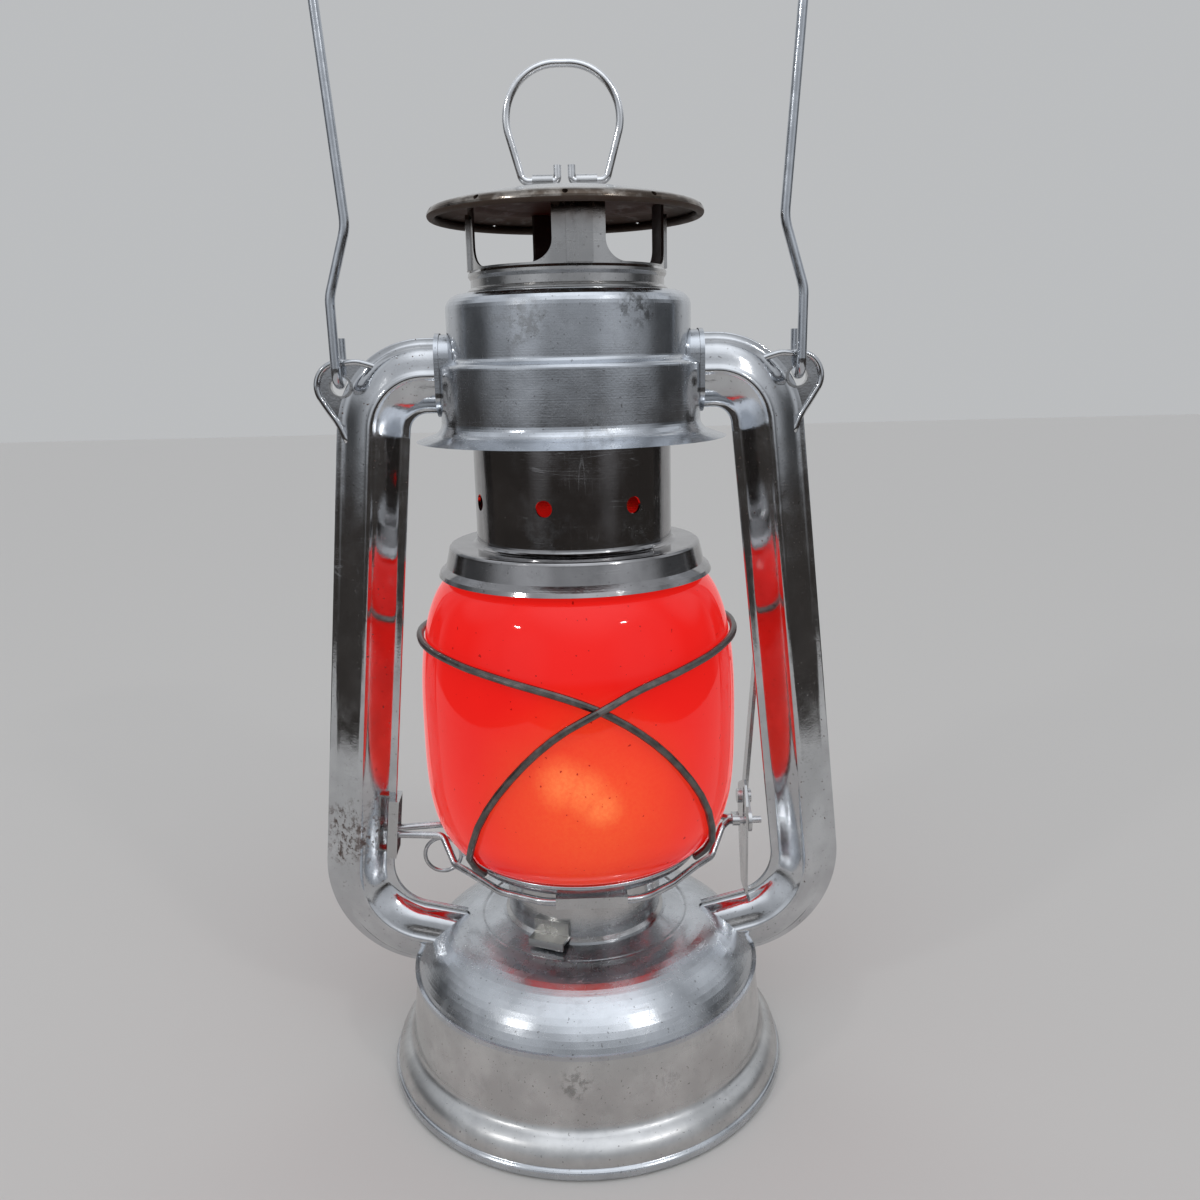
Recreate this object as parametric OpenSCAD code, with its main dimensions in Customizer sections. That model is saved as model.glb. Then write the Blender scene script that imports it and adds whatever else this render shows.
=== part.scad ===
/* [Sheet metal and fits] */
// Thickness of the tinned sheet
wall = 0.8; // [0.6:0.05:1]
// Gap left at seams and soldered seats
seat_gap = 0.05; // [0.02:0.01:0.1]
// Clearance round what slides or swings past another piece
slide_gap = 0.4; // [0.3:0.05:0.6]
// Height at which a moving piece rests above its seat
rest_gap = 0.3; // [0.2:0.05:0.4]
// Radial running clearance of a pin in its bore
pin_gap = 0.05; // [0.02:0.01:0.1]

/* [Base and tank] */
// Outer radius of the rolled foot
base_r = 67.6; // [65:0.1:71]
// Height of the rolled foot
foot_h = 4; // [3:0.1:5]
// Step from the foot in to the skirt
foot_step = 1.1; // [0.8:0.1:1.6]
// Width of the flat ring that the foot stands on
foot_land = 2.4; // [1.5:0.1:2.8]
// How far the skirt's band stands in from the foot of the skirt
band_in = 5.9; // [5.4:0.1:6.4]
// Radius of the rounded part of the flare
flare_round = 8; // [6:0.1:9]
// How much the band tapers in up to the seam under the dome
band_taper = 2.3; // [1.4:0.1:3]
// Height of the seam under the dome
seam_z = 35.9; // [30:0.1:40]
// Height of the rolled seam bead
seam_bead_h = 1.5; // [1:0.1:2]
// Rise of the dome's arc over a straight line
dome_bulge = 4; // [2:0.1:5]
// Radius of the ridge at the top of the dome
ledge_r = 35.8; // [34:0.1:37]
// Height of the ridge at the top of the dome
ledge_z = 53.1; // [51:0.1:55]
// Height of the flat deck that the burner stands on
deck_z = 54.4; // [54:0.1:55.4]
// Radius of the burner opening in the deck
deck_hole_r = 20; // [18:0.1:21]

/* [Burner] */
// Outer radius of the burner drum
drum_r = 25.9; // [25:0.1:27]
// Height of the top of the burner drum
drum_top_z = 77.6; // [76:0.1:79]
// Rounding at the top of the burner drum
drum_round = 4; // [3:0.1:5]
// Width of the wick
wick_w = 15; // [12:0.1:17]
// Thickness of the wick
wick_t = 2.4; // [2:0.1:3]
// Height of the top of the wick
wick_top_z = 92; // [91:0.1:94]
// Height of the lower end of the wick, in the tank
wick_low_z = 14; // [13:0.5:24]
// Radius of the burner cone at its foot
cone_r = 18.4; // [17.5:0.1:18.8]
// Height of the top of the burner cone
cone_top_z = 97; // [96:0.1:100]
// Radius of the wick spindle
spindle_r = 1; // [0.8:0.05:1.2]
// Height of the wick spindle
spindle_z = 71.5; // [70.5:0.1:72]
// Radius of the toothed wheels on the spindle
wheel_r = 3.8; // [3.4:0.1:4]
// Radius of the loop handle, to the middle of its wire
loop_r = 6.2; // [5:0.1:6.4]
// Radius of the loop handle's wire
loop_wire_r = 0.7; // [0.5:0.05:0.9]
// Distance of the loop's centre from the middle of the lantern
loop_x = 48.6; // [48:0.1:50]

/* [Filler] */
// Outer radius of the filler neck
filler_r = 9; // [8:0.1:9.6]
// Length of the filler neck above the dome's middle line
filler_h = 8; // [7:0.1:9]
// Lean of the filler away from the axis
filler_tilt = 35; // [32:0.5:38]
// Height of the filler cap
filler_cap_h = 7; // [6:0.1:8]

/* [Side tubes] */
// Width of a tube from flange to flange
tube_w = 22.7; // [21.5:0.1:23]
// Depth of one pressed half of a tube
tube_depth = 7; // [6.7:0.1:7.4]
// Width of the flange along each edge of a tube
flange_w = 2.2; // [1.6:0.1:2.6]
// Rounding of a tube's two sides
tube_round = 5; // [4.6:0.1:5]
// Radius of the bead along the middle of a tube
bead_r = 1.1; // [1:0.05:1.2]
// Height of the tubes' centre line where they enter the hood
tube_top_z = 234; // [233:0.1:236]
// Where a tube enters its socket
tube_start_x = 38.6; // [38.4:0.1:39]
// Distance of the top bend's centre from the axis
top_bend_x = 44.4; // [43.5:0.1:46]
// Centre-line radius of the top bend
top_bend_r = 17; // [16:0.1:18]
// Centre-line radius of the bottom bend
low_bend_r = 25.5; // [24:0.1:26]
// Length of the straight stretch between the bends
tube_run = 146.2; // [144:0.1:148]
// Outward lean of the straight stretch
splay = 5.7; // [5:0.1:6.4]
// Downward slope of a tube where it enters the tank
tank_slope = 14; // [12:0.5:16]

/* [Ears and bail] */
// Distance of an ear's hole from the axis
ear_x = 70.5; // [70.3:0.1:71]
// Height of an ear's hole
ear_z = 231.4; // [231.2:0.1:232]
// Outer radius of an ear
ear_r = 7.9; // [7.6:0.1:8.2]
// Radius of the hole through an ear's eyelet
ear_hole_r = 2.9; // [2.8:0.05:2.95]
// Radius of the bail's wire
bail_wire_r = 1.5; // [1.3:0.05:1.6]
// Height of the bail's lower kink
kink_low_z = 257.5; // [255:0.5:260]
// Height of the bail's upper kink
kink_high_z = 277.5; // [275:0.5:280]
// Half width of the bail at its upper kink
kink_high_x = 64.8; // [63:0.1:66.5]
// Half width of the bail at its lower kink
kink_low_x = 70.9; // [70.4:0.1:71.4]
// Radius of the bail's arch
arch_r = 69.4; // [67:0.1:71]
// Height at which the bail's arch begins
arch_z = 344; // [338:1:356]

/* [Hood] */
// Radius of the hood's flared rim
hood_rim_r = 48; // [46.5:0.1:49]
// Height of the hood's flared rim
hood_rim_z = 214.3; // [213.5:0.1:215.5]
// Radius of the hood's lower drum
hood_low_r = 40; // [39.6:0.1:40.4]
// Radius of the hood's upper drum
hood_high_r = 37.2; // [36.6:0.1:37.6]
// Height of the step between the drums
hood_step_z = 235.7; // [235:0.1:236.4]
// Height of the hood's top
hood_top_z = 257.5; // [256.5:0.1:258.5]
// Rounding of the hood's shoulder
hood_round = 4.5; // [3.5:0.1:5.5]
// Width of the sheet round a tube socket beyond the tube
socket_wall = 0.8; // [0.8:0.05:1.1]
// Where a tube socket ends
socket_x = 40.8; // [40.6:0.1:41.4]

/* [Chimney] */
// Radius of the flue tube inside the hood
flue_r = 28.35; // [27.8:0.05:28.6]
// Radius of the globe collar's flared edge
collar_rim_r = 43.4; // [42.8:0.1:44]
// Height of the globe collar's flared edge
collar_rim_z = 172.5; // [171.5:0.1:173.5]
// Radius of the globe collar's shoulder
shoulder_r = 39.8; // [39.4:0.1:40.2]
// Height of the globe collar's shoulder
shoulder_z = 182; // [181.4:0.1:182.4]
// Radius of the perforated cylinder above the globe
collar_r = 30.8; // [30.4:0.1:31.2]
// Height of the foot of the perforated cylinder
collar_foot_z = 183.9; // [183.4:0.1:184.6]
// Height of the top of the perforated cylinder
collar_top_z = 222; // [220.5:0.1:223]
// Number of air holes round the cylinder
air_holes = 7; // [5:1:9]
// Radius of an air hole
air_hole_r = 2.5; // [2:0.1:3]
// Height of the air holes
air_hole_z = 196; // [194:0.1:200]
// Travel of the chimney above its seat on the globe
chimney_travel = 14; // [12:0.5:18]
// Height of the window sill in the crown
sill_z = 264.6; // [264.2:0.1:265.6]
// Width of a crown post
post_w = 15; // [13:0.5:17]
// Rounding at the lower corners of the crown's windows
window_round = 6; // [4:0.1:7]
// Turn of the crown's front post from the front
post_turn = 7; // [0:0.5:12]
// Radius of the cap
cap_r = 41.2; // [40:0.1:42.5]
// Height of the cap's rim
cap_rim_z = 280.4; // [279.8:0.1:281]
// Height of the cap's flat centre
cap_top_z = 286; // [285.7:0.1:286.8]
// Number of small holes round the cap's rim
cap_holes = 10; // [8:1:12]
// Radius of the holes round the cap's rim
cap_hole_r = 0.8; // [0.6:0.05:1]
// Radius of the cap ring's wire
ring_wire_r = 1.2; // [1:0.05:1.3]
// Height of the cap ring's pivot above the cap
ring_pivot_h = 3.5; // [3.4:0.1:4.2]
// Height of the cap ring above its pivot
ring_h = 32.2; // [30:0.1:34]
// Half width of the cap ring at its pivot
ring_low_x = 12.4; // [12:0.1:14]
// Half width of the cap ring at its top corners
ring_high_x = 21.5; // [20.5:0.1:22.5]

/* [Globe and its carrier] */
// Largest radius of the globe
globe_r = 51; // [49:0.1:51.6]
// Radius of the globe's two necks
globe_neck_r = 37.5; // [36.6:0.1:38]
// Thickness of the glass
glass = 2.4; // [1.8:0.1:3]
// Height of the top of the globe's lower neck
globe_low_z = 81.8; // [81.4:0.1:82.4]
// Height of the foot of the globe's upper neck
globe_high_z = 172.4; // [171.4:0.1:173]
// Height of the globe's widest circle
globe_wide_z = 124; // [118:0.5:130]
// Radius of the globe plate's rim
plate_r = 40.7; // [40.2:0.1:41.4]
// Height of the globe plate's rim
plate_rim_z = 81.2; // [80.8:0.1:81.6]
// Travel of the globe when the lever lifts it
globe_travel = 10; // [8:0.5:10]
// Radius of the carrier's wires
carrier_wire_r = 1.2; // [1:0.05:1.25]
// Height of the carrier's wires at the sides
carrier_z = 83.2; // [82.8:0.1:83.6]
// Radius of the guard's wires
guard_wire_r = 1.15; // [0.9:0.05:1.3]
// Height of a guard wire at its high side
guard_high_z = 153.6; // [150:0.1:156]
// Turn of the guard about the vertical
guard_turn = 5.5; // [0:0.5:8]

/* [Lift lever] */
// Distance of the lever bracket's plate from the axis
bracket_x = 55.1; // [54.6:0.1:55.4]
// Distance of the lever's pivot behind the middle
pivot_y = 9; // [8.6:0.1:10]
// Thickness of the lever
lever_t = 1.2; // [1:0.1:1.4]
// Length of the lever's handle above its pivot
lever_len = 50; // [40:0.5:56]
// Radius of the lever's rivet
rivet_r = 1.5; // [1.2:0.05:1.7]

/* [Hidden] */
$fn = 96;

tin = [0.74, 0.74, 0.76];
bright_tin = [0.82, 0.82, 0.84];
dark_wire = [0.27, 0.26, 0.26];
sooty = [0.45, 0.41, 0.37];

// A wire is this much thicker round its bends, which reach this far over its straights
bend_swell = 0.02;
bend_lap = 0.1;

// Foot, skirt and dome
skirt_foot_r = base_r - foot_step;
band_r = skirt_foot_r - band_in;
tank_r = band_r - band_taper;
skirt_sill = 0.3;
flare_angle = 60;
flare_hollow = (skirt_foot_r - band_r) / (1 - cos(flare_angle)) - flare_round;
band_z = foot_h + skirt_sill + (flare_round + flare_hollow) * sin(flare_angle);
deck_r = drum_r + 2.1;
cone_slot_w = wick_w + 2;
tank_floor_z = foot_h / 2 - wall / 2;

// Burner
drum_lip_r = drum_r + 1.1;
collar_h = 4;
base_disc_z = deck_z + collar_h;
tube_play = 0.4;
wick_tube_w = wick_w + 2 * tube_play + 2 * wall;
wick_tube_t = wick_t + 2 * tube_play + 2 * wall;
wick_tube_low_z = 48;
wick_tube_top_z = wick_top_z - 2;
spindle_y = wick_t / 2 + rest_gap + wheel_r;
bush_r = spindle_r + pin_gap + 1;
bush_len = 4;
wheel_x = 4;
wheel_t = 1.6;
teeth = 10;
catch_turn = -24;

// Filler
filler_y = (tank_r + ledge_r) / 2;
filler_foot_z = seam_z + (ledge_z - seam_z) * (tank_r - filler_y) / (tank_r - ledge_r) + dome_bulge;
filler_wall = 1;
filler_play = 0.3;
gasket_t = 1;
cap_wall = 1.2;
cap_skirt_gap = 2;

// Side tubes
tube_roof = 12;
bead_h = 0.45;
tube_edge = tube_w / 2 - flange_w;
round_u = tube_edge - tube_round;
round_v = tube_depth - bead_h - tube_round * cos(tube_roof) - (round_u + tube_round * sin(tube_roof)) * tan(tube_roof);
top_bend_z = tube_top_z - top_bend_r;
run_top = [top_bend_x + top_bend_r * cos(splay), top_bend_z + top_bend_r * sin(splay)];
run_low = run_top + tube_run * [sin(splay), -cos(splay)];
low_bend = run_low - low_bend_r * [cos(splay), sin(splay)];
low_end_angle = tank_slope - 90;
low_end = low_bend + low_bend_r * [cos(low_end_angle), sin(low_end_angle)];
tail_len = 24;

// Ears, eyelets and bail
ear_rim_w = 1.4;
eyelet_wall = 0.4;
eyelet_flange = 0.7;
eyelet_lip = 0.5;
hook_z = ear_z + (ear_hole_r + ear_r) / 2;
hook_r = norm([(ear_r - ear_hole_r) / 2, 2 * wall]) + slide_gap + bail_wire_r;
hook_x = ear_x + 0.2;
stub_len = 9;
bail_bend = 14;

// Hood
flare_fillet = 4;
flare_end = 250;
step_round = 1.6;
hood_hole_r = flue_r + slide_gap;
socket_half_w = tube_w / 2 + seat_gap + socket_wall;
socket_half_d = tube_depth + seat_gap + socket_wall;
socket_corner = socket_half_d - 0.85;

// Chimney
crown_r = flue_r + seat_gap + wall;
crown_foot_r = crown_r + 1.2;
crown_foot_z = hood_top_z + rest_gap;
flue_low_z = collar_top_z - 7;
flue_seat_r = collar_r - wall - seat_gap;
cap_flat_r = 12;
cap_dome_r = 29.2;
cap_crease_z = cap_top_z - 2;
post_top_z = cap_crease_z - wall - seat_gap;
spring_wire_r = 0.8;
spring_r = 30.6;
spring_turns = 4.5;
pivot_z = cap_top_z + ring_pivot_h;
clip_x = [3.5, 9.6];
clip_r = ring_wire_r + pin_gap + wall;
ring_stub_x = 2.1;
ring_stub_h = 4.5;
ring_bend = 1.6;
ring_corner = 15;

// Globe, plate and carrier
plate_z = drum_top_z + rest_gap;
plate_floor_z = plate_z + wall;
plate_hole_r = cone_r + slide_gap + 0.5;
clip_t = 0.5;
front_wire_z = plate_z - clip_t - seat_gap - carrier_wire_r;
front_wire_y = plate_r - 2.1;
straddle_y = wall + slide_gap + carrier_wire_r;
splice_y = 2 * carrier_wire_r + 2 * seat_gap;
carrier_left_x = flange_edge_x(carrier_z) + 0.5;
carrier_right_x = flange_edge_x(carrier_z + globe_travel) - 1.4;
carrier_elbow = [plate_r + 6.3, 4.5];
carrier_dip = [plate_r + 1.8, 11];
carrier_ring_r = 1.055 * front_wire_y;
carrier_front_x = [-12, 18];
splice_x = carrier_elbow[0] + 4.2;
splice_len = 2.4;
guard_gap = 0.35;
guard_low_z = globe_low_z + 6.2;
guard_over = 2 * guard_wire_r + 0.15;

// Lever
pivot_lever_z = carrier_z + globe_travel / 2;
lever_x = bracket_x + wall + slide_gap;
wire_reach = norm([pivot_y, globe_travel / 2]);
wire_angle = 180 + atan2(globe_travel / 2, pivot_y);
lever_w = 6;
handle_lean = [0.09, 0.1, 1];
bracket_top_z = carrier_z + globe_travel + 4.3;
bracket_slot = carrier_wire_r + slide_gap;
bracket_low_z = low_bend[1] - sqrt(pow(low_bend_r - tube_w / 2, 2) - pow(bracket_x + wall - low_bend[0], 2));

// ---- Geometry helpers ----

// Points on an arc about c, from angle a0 to a1
function arc(c, r, a0, a1, n = 6) = [for (i = [0 : n]) let (a = a0 + (a1 - a0) * i / n) c + r * [cos(a), sin(a)]];

// Points on the arc from p to q that rises by h to the right of the chord
function bulge(p, q, h, n = 10) =
    let (half = norm(q - p) / 2, r = (half * half + h * h) / (2 * h), d = (q - p) / (2 * half))
    let (c = (p + q) / 2 + (r - h) * [-d[1], d[0]], a = asin(half / r), a0 = atan2(p[1] - c[1], p[0] - c[0]))
    arc(c, r, a0, a0 + 2 * a, n);

function unit(v) = v / norm(v);
function left(v) = [-v[1], v[0]];
function reverse(list) = [for (i = [len(list) - 1 : -1 : 0]) list[i]];

// An open outline moved sideways by d, to its left
function inset(p, d) = [for (i = [0 : len(p) - 1])
    let (a = left(unit(p[max(i, 1)] - p[max(i, 1) - 1])))
    let (b = left(unit(p[min(i, len(p) - 2) + 1] - p[min(i, len(p) - 2)])))
    p[i] + d * (a + b) / (1 + a * b)];

// Sheet of thickness t turned from an open outline, with t measured to the outline's left
module turned_sheet(p, t = wall) rotate_extrude() polygon(concat(p, reverse(inset(p, t))));

// Solid turned from an outline that is closed along the axis
module turned_solid(p) rotate_extrude() polygon(concat(p, [[0, p[len(p) - 1][1]], [0, p[0][1]]]));

// Flat ring between two radii
module washer(r_out, r_in, z, h) translate([0, 0, z]) difference() {
    cylinder(r = r_out, h = h);
    translate([0, 0, -1]) cylinder(r = r_in, h = h + 2);
}

// Turns the Z axis along v
module along(v) {
    w = unit(v);
    side = norm([w[0], w[1]]) < 0.001 ? [1, 0, 0] : unit([-w[1], w[0], 0]);
    other = cross(w, side);
    multmatrix([[side[0], other[0], w[0], 0], [side[1], other[1], w[1], 0], [side[2], other[2], w[2], 0]]) children();
}

module rod(a, b, r) translate(a) along(b - a) cylinder(r = r, h = norm(b - a));

// Round bend at corner p between the unit directions u, coming in, and v, going out
module wire_bend(p, u, v, bend, r) {
    turn = acos(u * v);
    c = p + bend / cos(turn / 2) * unit(v - u);
    x = unit(p - tan(turn / 2) * bend * u - c);
    w = unit(cross(u, v));
    multmatrix([[x[0], u[0], w[0], c[0]], [x[1], u[1], w[1], c[1]], [x[2], u[2], w[2], c[2]]])
        rotate_extrude(angle = turn) translate([bend, 0]) circle(r + bend_swell);
}

// Wire of radius r through the points, with the bend radius given at each inner point
module wire(p, bends, r) {
    last = len(p) - 1;
    dir = [for (i = [0 : last - 1]) unit(p[i + 1] - p[i])];
    cut = [for (i = [0 : last]) i == 0 || i == last ? 0 : bends[i] * tan(acos(dir[i - 1] * dir[i]) / 2)];
    lap = [for (c = cut) c > 0 ? c - bend_lap : 0];
    for (i = [0 : last - 1]) rod(p[i] + lap[i] * dir[i], p[i + 1] - lap[i + 1] * dir[i], r);
    for (i = [1 : last - 1]) wire_bend(p[i], dir[i - 1], dir[i], bends[i], r);
}

// Closed tube of radius r swept along many points, with its rings turned so that they don't twist
module swept(p, r, sides) {
    last = len(p) - 1;
    dir = [for (i = [0 : last]) unit(p[min(i + 1, last)] - p[max(i - 1, 0)])];
    start = unit(cross(dir[0], [dir[0][1], -dir[0][2], dir[0][0]]));
    normals = [for (i = 0, n = start; i <= last; i = i + 1, n = i > last ? n : unit(n - (n * dir[i]) * dir[i])) n];
    rings = [for (i = [0 : last], k = [0 : sides - 1])
        let (a = 360 * k / sides) p[i] + r * (cos(a) * normals[i] + sin(a) * cross(dir[i], normals[i]))];
    walls = [for (i = [0 : last - 1], k = [0 : sides - 1])
        let (j = (k + 1) % sides) [i * sides + j, i * sides + k, (i + 1) * sides + k, (i + 1) * sides + j]];
    polyhedron(rings, concat(walls,
        [[for (k = [0 : sides - 1]) k], [for (k = [sides - 1 : -1 : 0]) last * sides + k]]));
}

// ---- Outlines ----

skirt_outline = concat(
    [[skirt_foot_r, foot_h]],
    arc([skirt_foot_r - flare_round, foot_h + skirt_sill], flare_round, 0, flare_angle, 8),
    arc([band_r + flare_hollow, band_z], flare_hollow, 180 + flare_angle, 180, 5),
    [[tank_r, seam_z]]);

dome_outline = concat(
    bulge([tank_r, seam_z], [ledge_r, ledge_z], dome_bulge, 14),
    [[ledge_r - 0.6, ledge_z + 0.2], [ledge_r - 1.3, ledge_z - 0.3], [ledge_r - 2, ledge_z - 0.3]],
    [[deck_r, deck_z], [deck_hole_r, deck_z]]);

hood_outline = concat(
    [[hood_rim_r, hood_rim_z]],
    arc([hood_low_r + flare_fillet, hood_rim_z + 5.7], flare_fillet, flare_end, 180, 7),
    arc([hood_low_r - step_round, hood_step_z], step_round, 0, 60, 4),
    arc([hood_high_r + step_round, hood_step_z + 3.4], step_round, 240, 180, 4),
    arc([hood_high_r - hood_round, hood_top_z - hood_round], hood_round, 0, 90, 7),
    [[hood_hole_r, hood_top_z]]);

collar_outline = concat(
    [[collar_rim_r, collar_rim_z], [collar_rim_r - 0.5, collar_rim_z + 1.2], [shoulder_r + 1.2, collar_rim_z + 2.9]],
    arc([shoulder_r - 1.4, shoulder_z - 1.4], 1.4, 0, 84, 5),
    arc([collar_r + collar_foot_z - shoulder_z, collar_foot_z], collar_foot_z - shoulder_z, 264, 180, 5),
    [[collar_r, collar_top_z], [flue_r + seat_gap, collar_top_z]]);

plate_outline = concat(
    [[plate_r - 0.5, plate_rim_z], [plate_r - 1.5, plate_z + 0.9]],
    [[plate_r - 2.4, plate_z], [plate_hole_r, plate_z]]);

cap_outline = concat(
    arc([cap_r - 2.2, cap_rim_z - 0.6], 2.2, 0, 75, 5),
    [[cap_r - 6.4, cap_rim_z + 2.9], [cap_dome_r + 0.8, cap_crease_z - 0.3], [cap_dome_r, cap_crease_z]],
    bulge([cap_dome_r - 1.6, cap_crease_z + 0.8], [cap_flat_r, cap_top_z], 0.5, 5),
    [[0, cap_top_z]]);

// Height of the collar's inner surface over a point of the globe's rim
function underside_z(r) =
    let (p = inset(collar_outline, wall))
    max([for (i = [1 : len(p) - 1]) if (p[i - 1][0] >= r && p[i][0] <= r && p[i][1] < collar_foot_z + 1)
        p[i - 1][1] + (p[i][1] - p[i - 1][1]) * (p[i - 1][0] - r) / (p[i - 1][0] - p[i][0] + 0.0001)]);

// Radius of the globe at height z, between its necks
function globe_radius(z) =
    let (up = z > globe_wide_z,
        u = abs(z - globe_wide_z) / (up ? globe_high_z - globe_wide_z : globe_wide_z - globe_low_z))
    globe_neck_r + (globe_r - globe_neck_r) * sqrt(max(0, 1 - pow(min(u, 1), up ? 2.6 : 3.4)));

globe_top_z = underside_z(globe_neck_r) - rest_gap;

globe_outline = concat(
    [[globe_neck_r, plate_floor_z]],
    [for (i = [0 : 11]) let (z = globe_wide_z - (globe_wide_z - globe_low_z) * cos(90 * i / 12)) [globe_radius(z), z]],
    [for (i = [0 : 12]) let (z = globe_wide_z + (globe_high_z - globe_wide_z) * sin(90 * i / 12)) [globe_radius(z), z]],
    [[globe_neck_r, globe_top_z]]);

// Inner edge of the right tube's flange at height z
function flange_edge_x(z) = run_top[0] - tube_w / 2 / cos(splay) + (run_top[1] - z) * tan(splay);

// ---- Base and tank ----

module base_plate() color(tin) {
    rim_in = skirt_foot_r - foot_land - 0.6;
    rotate_extrude() polygon(concat(
        [[rim_in, foot_h], [rim_in, 0]],
        arc([base_r - 1.8, 1.8], 1.8, -90, 0, 5),
        arc([base_r - 1.6, foot_h - 1.6], 1.6, 0, 65, 4),
        [[skirt_foot_r + seat_gap, foot_h]]));
    translate([0, 0, tank_floor_z]) cylinder(r = rim_in + 0.4, h = wall);
}

module base_skirt() color(tin) turned_sheet(skirt_outline);

module dome_bead() {
    bead_z = seam_z + 0.5 - seam_bead_h;
    skirt_there = tank_r + (band_r - tank_r) * (seam_z - bead_z) / (seam_z - band_z);
    washer(tank_r + 0.8, skirt_there + seat_gap, bead_z, seam_z + seat_gap - bead_z);
    washer(tank_r + 0.8, tank_r - wall / 2, seam_z + seat_gap, 0.5);
}

// The tank's outside as one solid, to cut what stands on it
module tank_envelope() {
    turned_solid(concat(inset(concat(skirt_outline,
        [for (i = [1 : len(dome_outline) - 1]) dome_outline[i]]), -seat_gap)));
    translate([0, 0, seam_z - 2 * wall - 1]) cylinder(r = tank_r + 0.8 + seat_gap, h = 2 * wall + 1.7 + seat_gap);
}

module at_filler() translate([0, filler_y, filler_foot_z]) rotate([-filler_tilt, 0, 0]) children();

module tank_top() color(bright_tin) {
    difference() {
        turned_sheet(dome_outline);
        translate([0, 0, seam_z - 2 * wall]) cylinder(r = tank_r + 1, h = 2 * wall + seat_gap);
        at_filler() translate([0, 0, -10]) cylinder(r = filler_r - filler_wall, h = 20);
    }
    dome_bead();
}

module filler_neck() color(bright_tin) difference() {
    at_filler() translate([0, 0, -10]) cylinder(r = filler_r, h = 10 + filler_h);
    at_filler() translate([0, 0, -11]) cylinder(r = filler_r - filler_wall, h = 12 + filler_h);
    tank_envelope();
}

// ---- Burner ----

module burner_collar() color(tin) washer(deck_hole_r + 4.6, deck_hole_r, deck_z, collar_h);

module burner_base() color(tin) difference() {
    translate([0, 0, base_disc_z]) cylinder(r = drum_r - wall - seat_gap, h = wall);
    translate([0, 0, base_disc_z]) cube([wick_tube_w, wick_tube_t, 4] + 2 * seat_gap * [1, 1, 0], center = true);
}

module at_spindle() translate([0, spindle_y, spindle_z]) rotate([0, -90, 0]) children();

module burner_drum() color(tin) {
    outline = concat(
        [[drum_lip_r, deck_z], [drum_lip_r, deck_z + 0.5], [drum_r + 0.3, deck_z + 1.3], [drum_r, deck_z + 1.6]],
        arc([drum_r - drum_round, drum_top_z - drum_round], drum_round, 0, 90, 6),
        [[cone_r - 1.4, drum_top_z]]);
    difference() {
        union() {
            turned_sheet(outline);
            at_spindle() translate([0, 0, drum_r - wall - 1.6]) cylinder(r = bush_r, h = bush_len + 1);
        }
        at_spindle() cylinder(r = spindle_r + pin_gap, h = drum_r + 6);
        for (side = [0 : 2]) rotate(120 * side) translate([-2, -drum_r - 1, drum_top_z - drum_round - 0.2])
            cube([11, 5, 2.6]);
    }
}

module burner_catch() color(bright_tin) rotate(catch_turn) difference() {
    union() {
        translate([-6, -drum_r - seat_gap - 1, deck_z + 1.6]) cube([12, 3, 5.6]);
        translate([-6, -drum_r - 5, deck_z + 1.6]) cube([12, 5, 1]);
        translate([-6, -drum_r - 5.8, deck_z]) cube([12, 1, 2.6]);
    }
    translate([0, 0, deck_z - 1]) cylinder(r = drum_r + seat_gap, h = 20);
}

module wick_tube() color(tin) difference() {
    mid_z = (wick_tube_low_z + wick_tube_top_z) / 2;
    tall = wick_tube_top_z - wick_tube_low_z;
    translate([0, 0, mid_z]) cube([wick_tube_w, wick_tube_t, tall], center = true);
    translate([0, 0, mid_z]) cube([wick_w + 2 * tube_play, wick_t + 2 * tube_play, tall + 2], center = true);
    translate([0, wick_t, spindle_z]) cube([2 * wheel_x + 2 * wheel_t, 2 * wick_t, 2 * wheel_r], center = true);
}

module burner_cone() color(tin) {
    wide = cone_r - 0.6;
    rise = cone_top_z - drum_top_z - 3;
    outline = concat(
        [[cone_r, drum_top_z], [cone_r, drum_top_z + 3]],
        [for (i = [1 : 8]) [wide * cos(80 * i / 8), drum_top_z + 3 + rise * sin(90 * i / 8)]]);
    difference() {
        turned_sheet(outline);
        translate([0, 0, cone_top_z]) cube([cone_slot_w, 5, 12], center = true);
        for (a = [0 : 30 : 330]) rotate(a) translate([cone_r - 3, 0, drum_top_z + 1.8]) rotate([0, 90, 0])
            cylinder(r = 0.7, h = 5);
    }
}

module wick_spindle() color(tin) {
    at_spindle() translate([0, 0, -wheel_x - 4]) cylinder(r = spindle_r, h = loop_x - loop_r + wheel_x + 4);
    translate([-loop_x, spindle_y, spindle_z]) rotate([90, 0, 0]) rotate_extrude()
        translate([loop_r, 0]) circle(loop_wire_r);
}

module wick_wheels() color([0.7, 0.6, 0.35]) for (x = [-wheel_x, wheel_x]) translate([x, spindle_y, spindle_z])
    rotate([0, 90, 0]) difference() {
        translate([0, 0, -wheel_t / 2]) linear_extrude(wheel_t) union() {
            circle(wheel_r - 0.8);
            for (k = [0 : teeth - 1]) rotate(360 * k / teeth)
                polygon([[wheel_r - 1.2, -0.8], [wheel_r, -0.25], [wheel_r, 0.25], [wheel_r - 1.2, 0.8]]);
        }
        translate([0, 0, -wheel_t]) cylinder(r = spindle_r + seat_gap, h = 2 * wheel_t);
    }

module wick() color("ivory") translate([-wick_w / 2, -wick_t / 2, wick_low_z])
    cube([wick_w, wick_t, wick_top_z - wick_low_z]);

// ---- Filler cap ----

module filler_gasket() color("saddlebrown") at_filler()
    washer(filler_r, filler_r - filler_wall - 1, filler_h + rest_gap, gasket_t);

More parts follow.
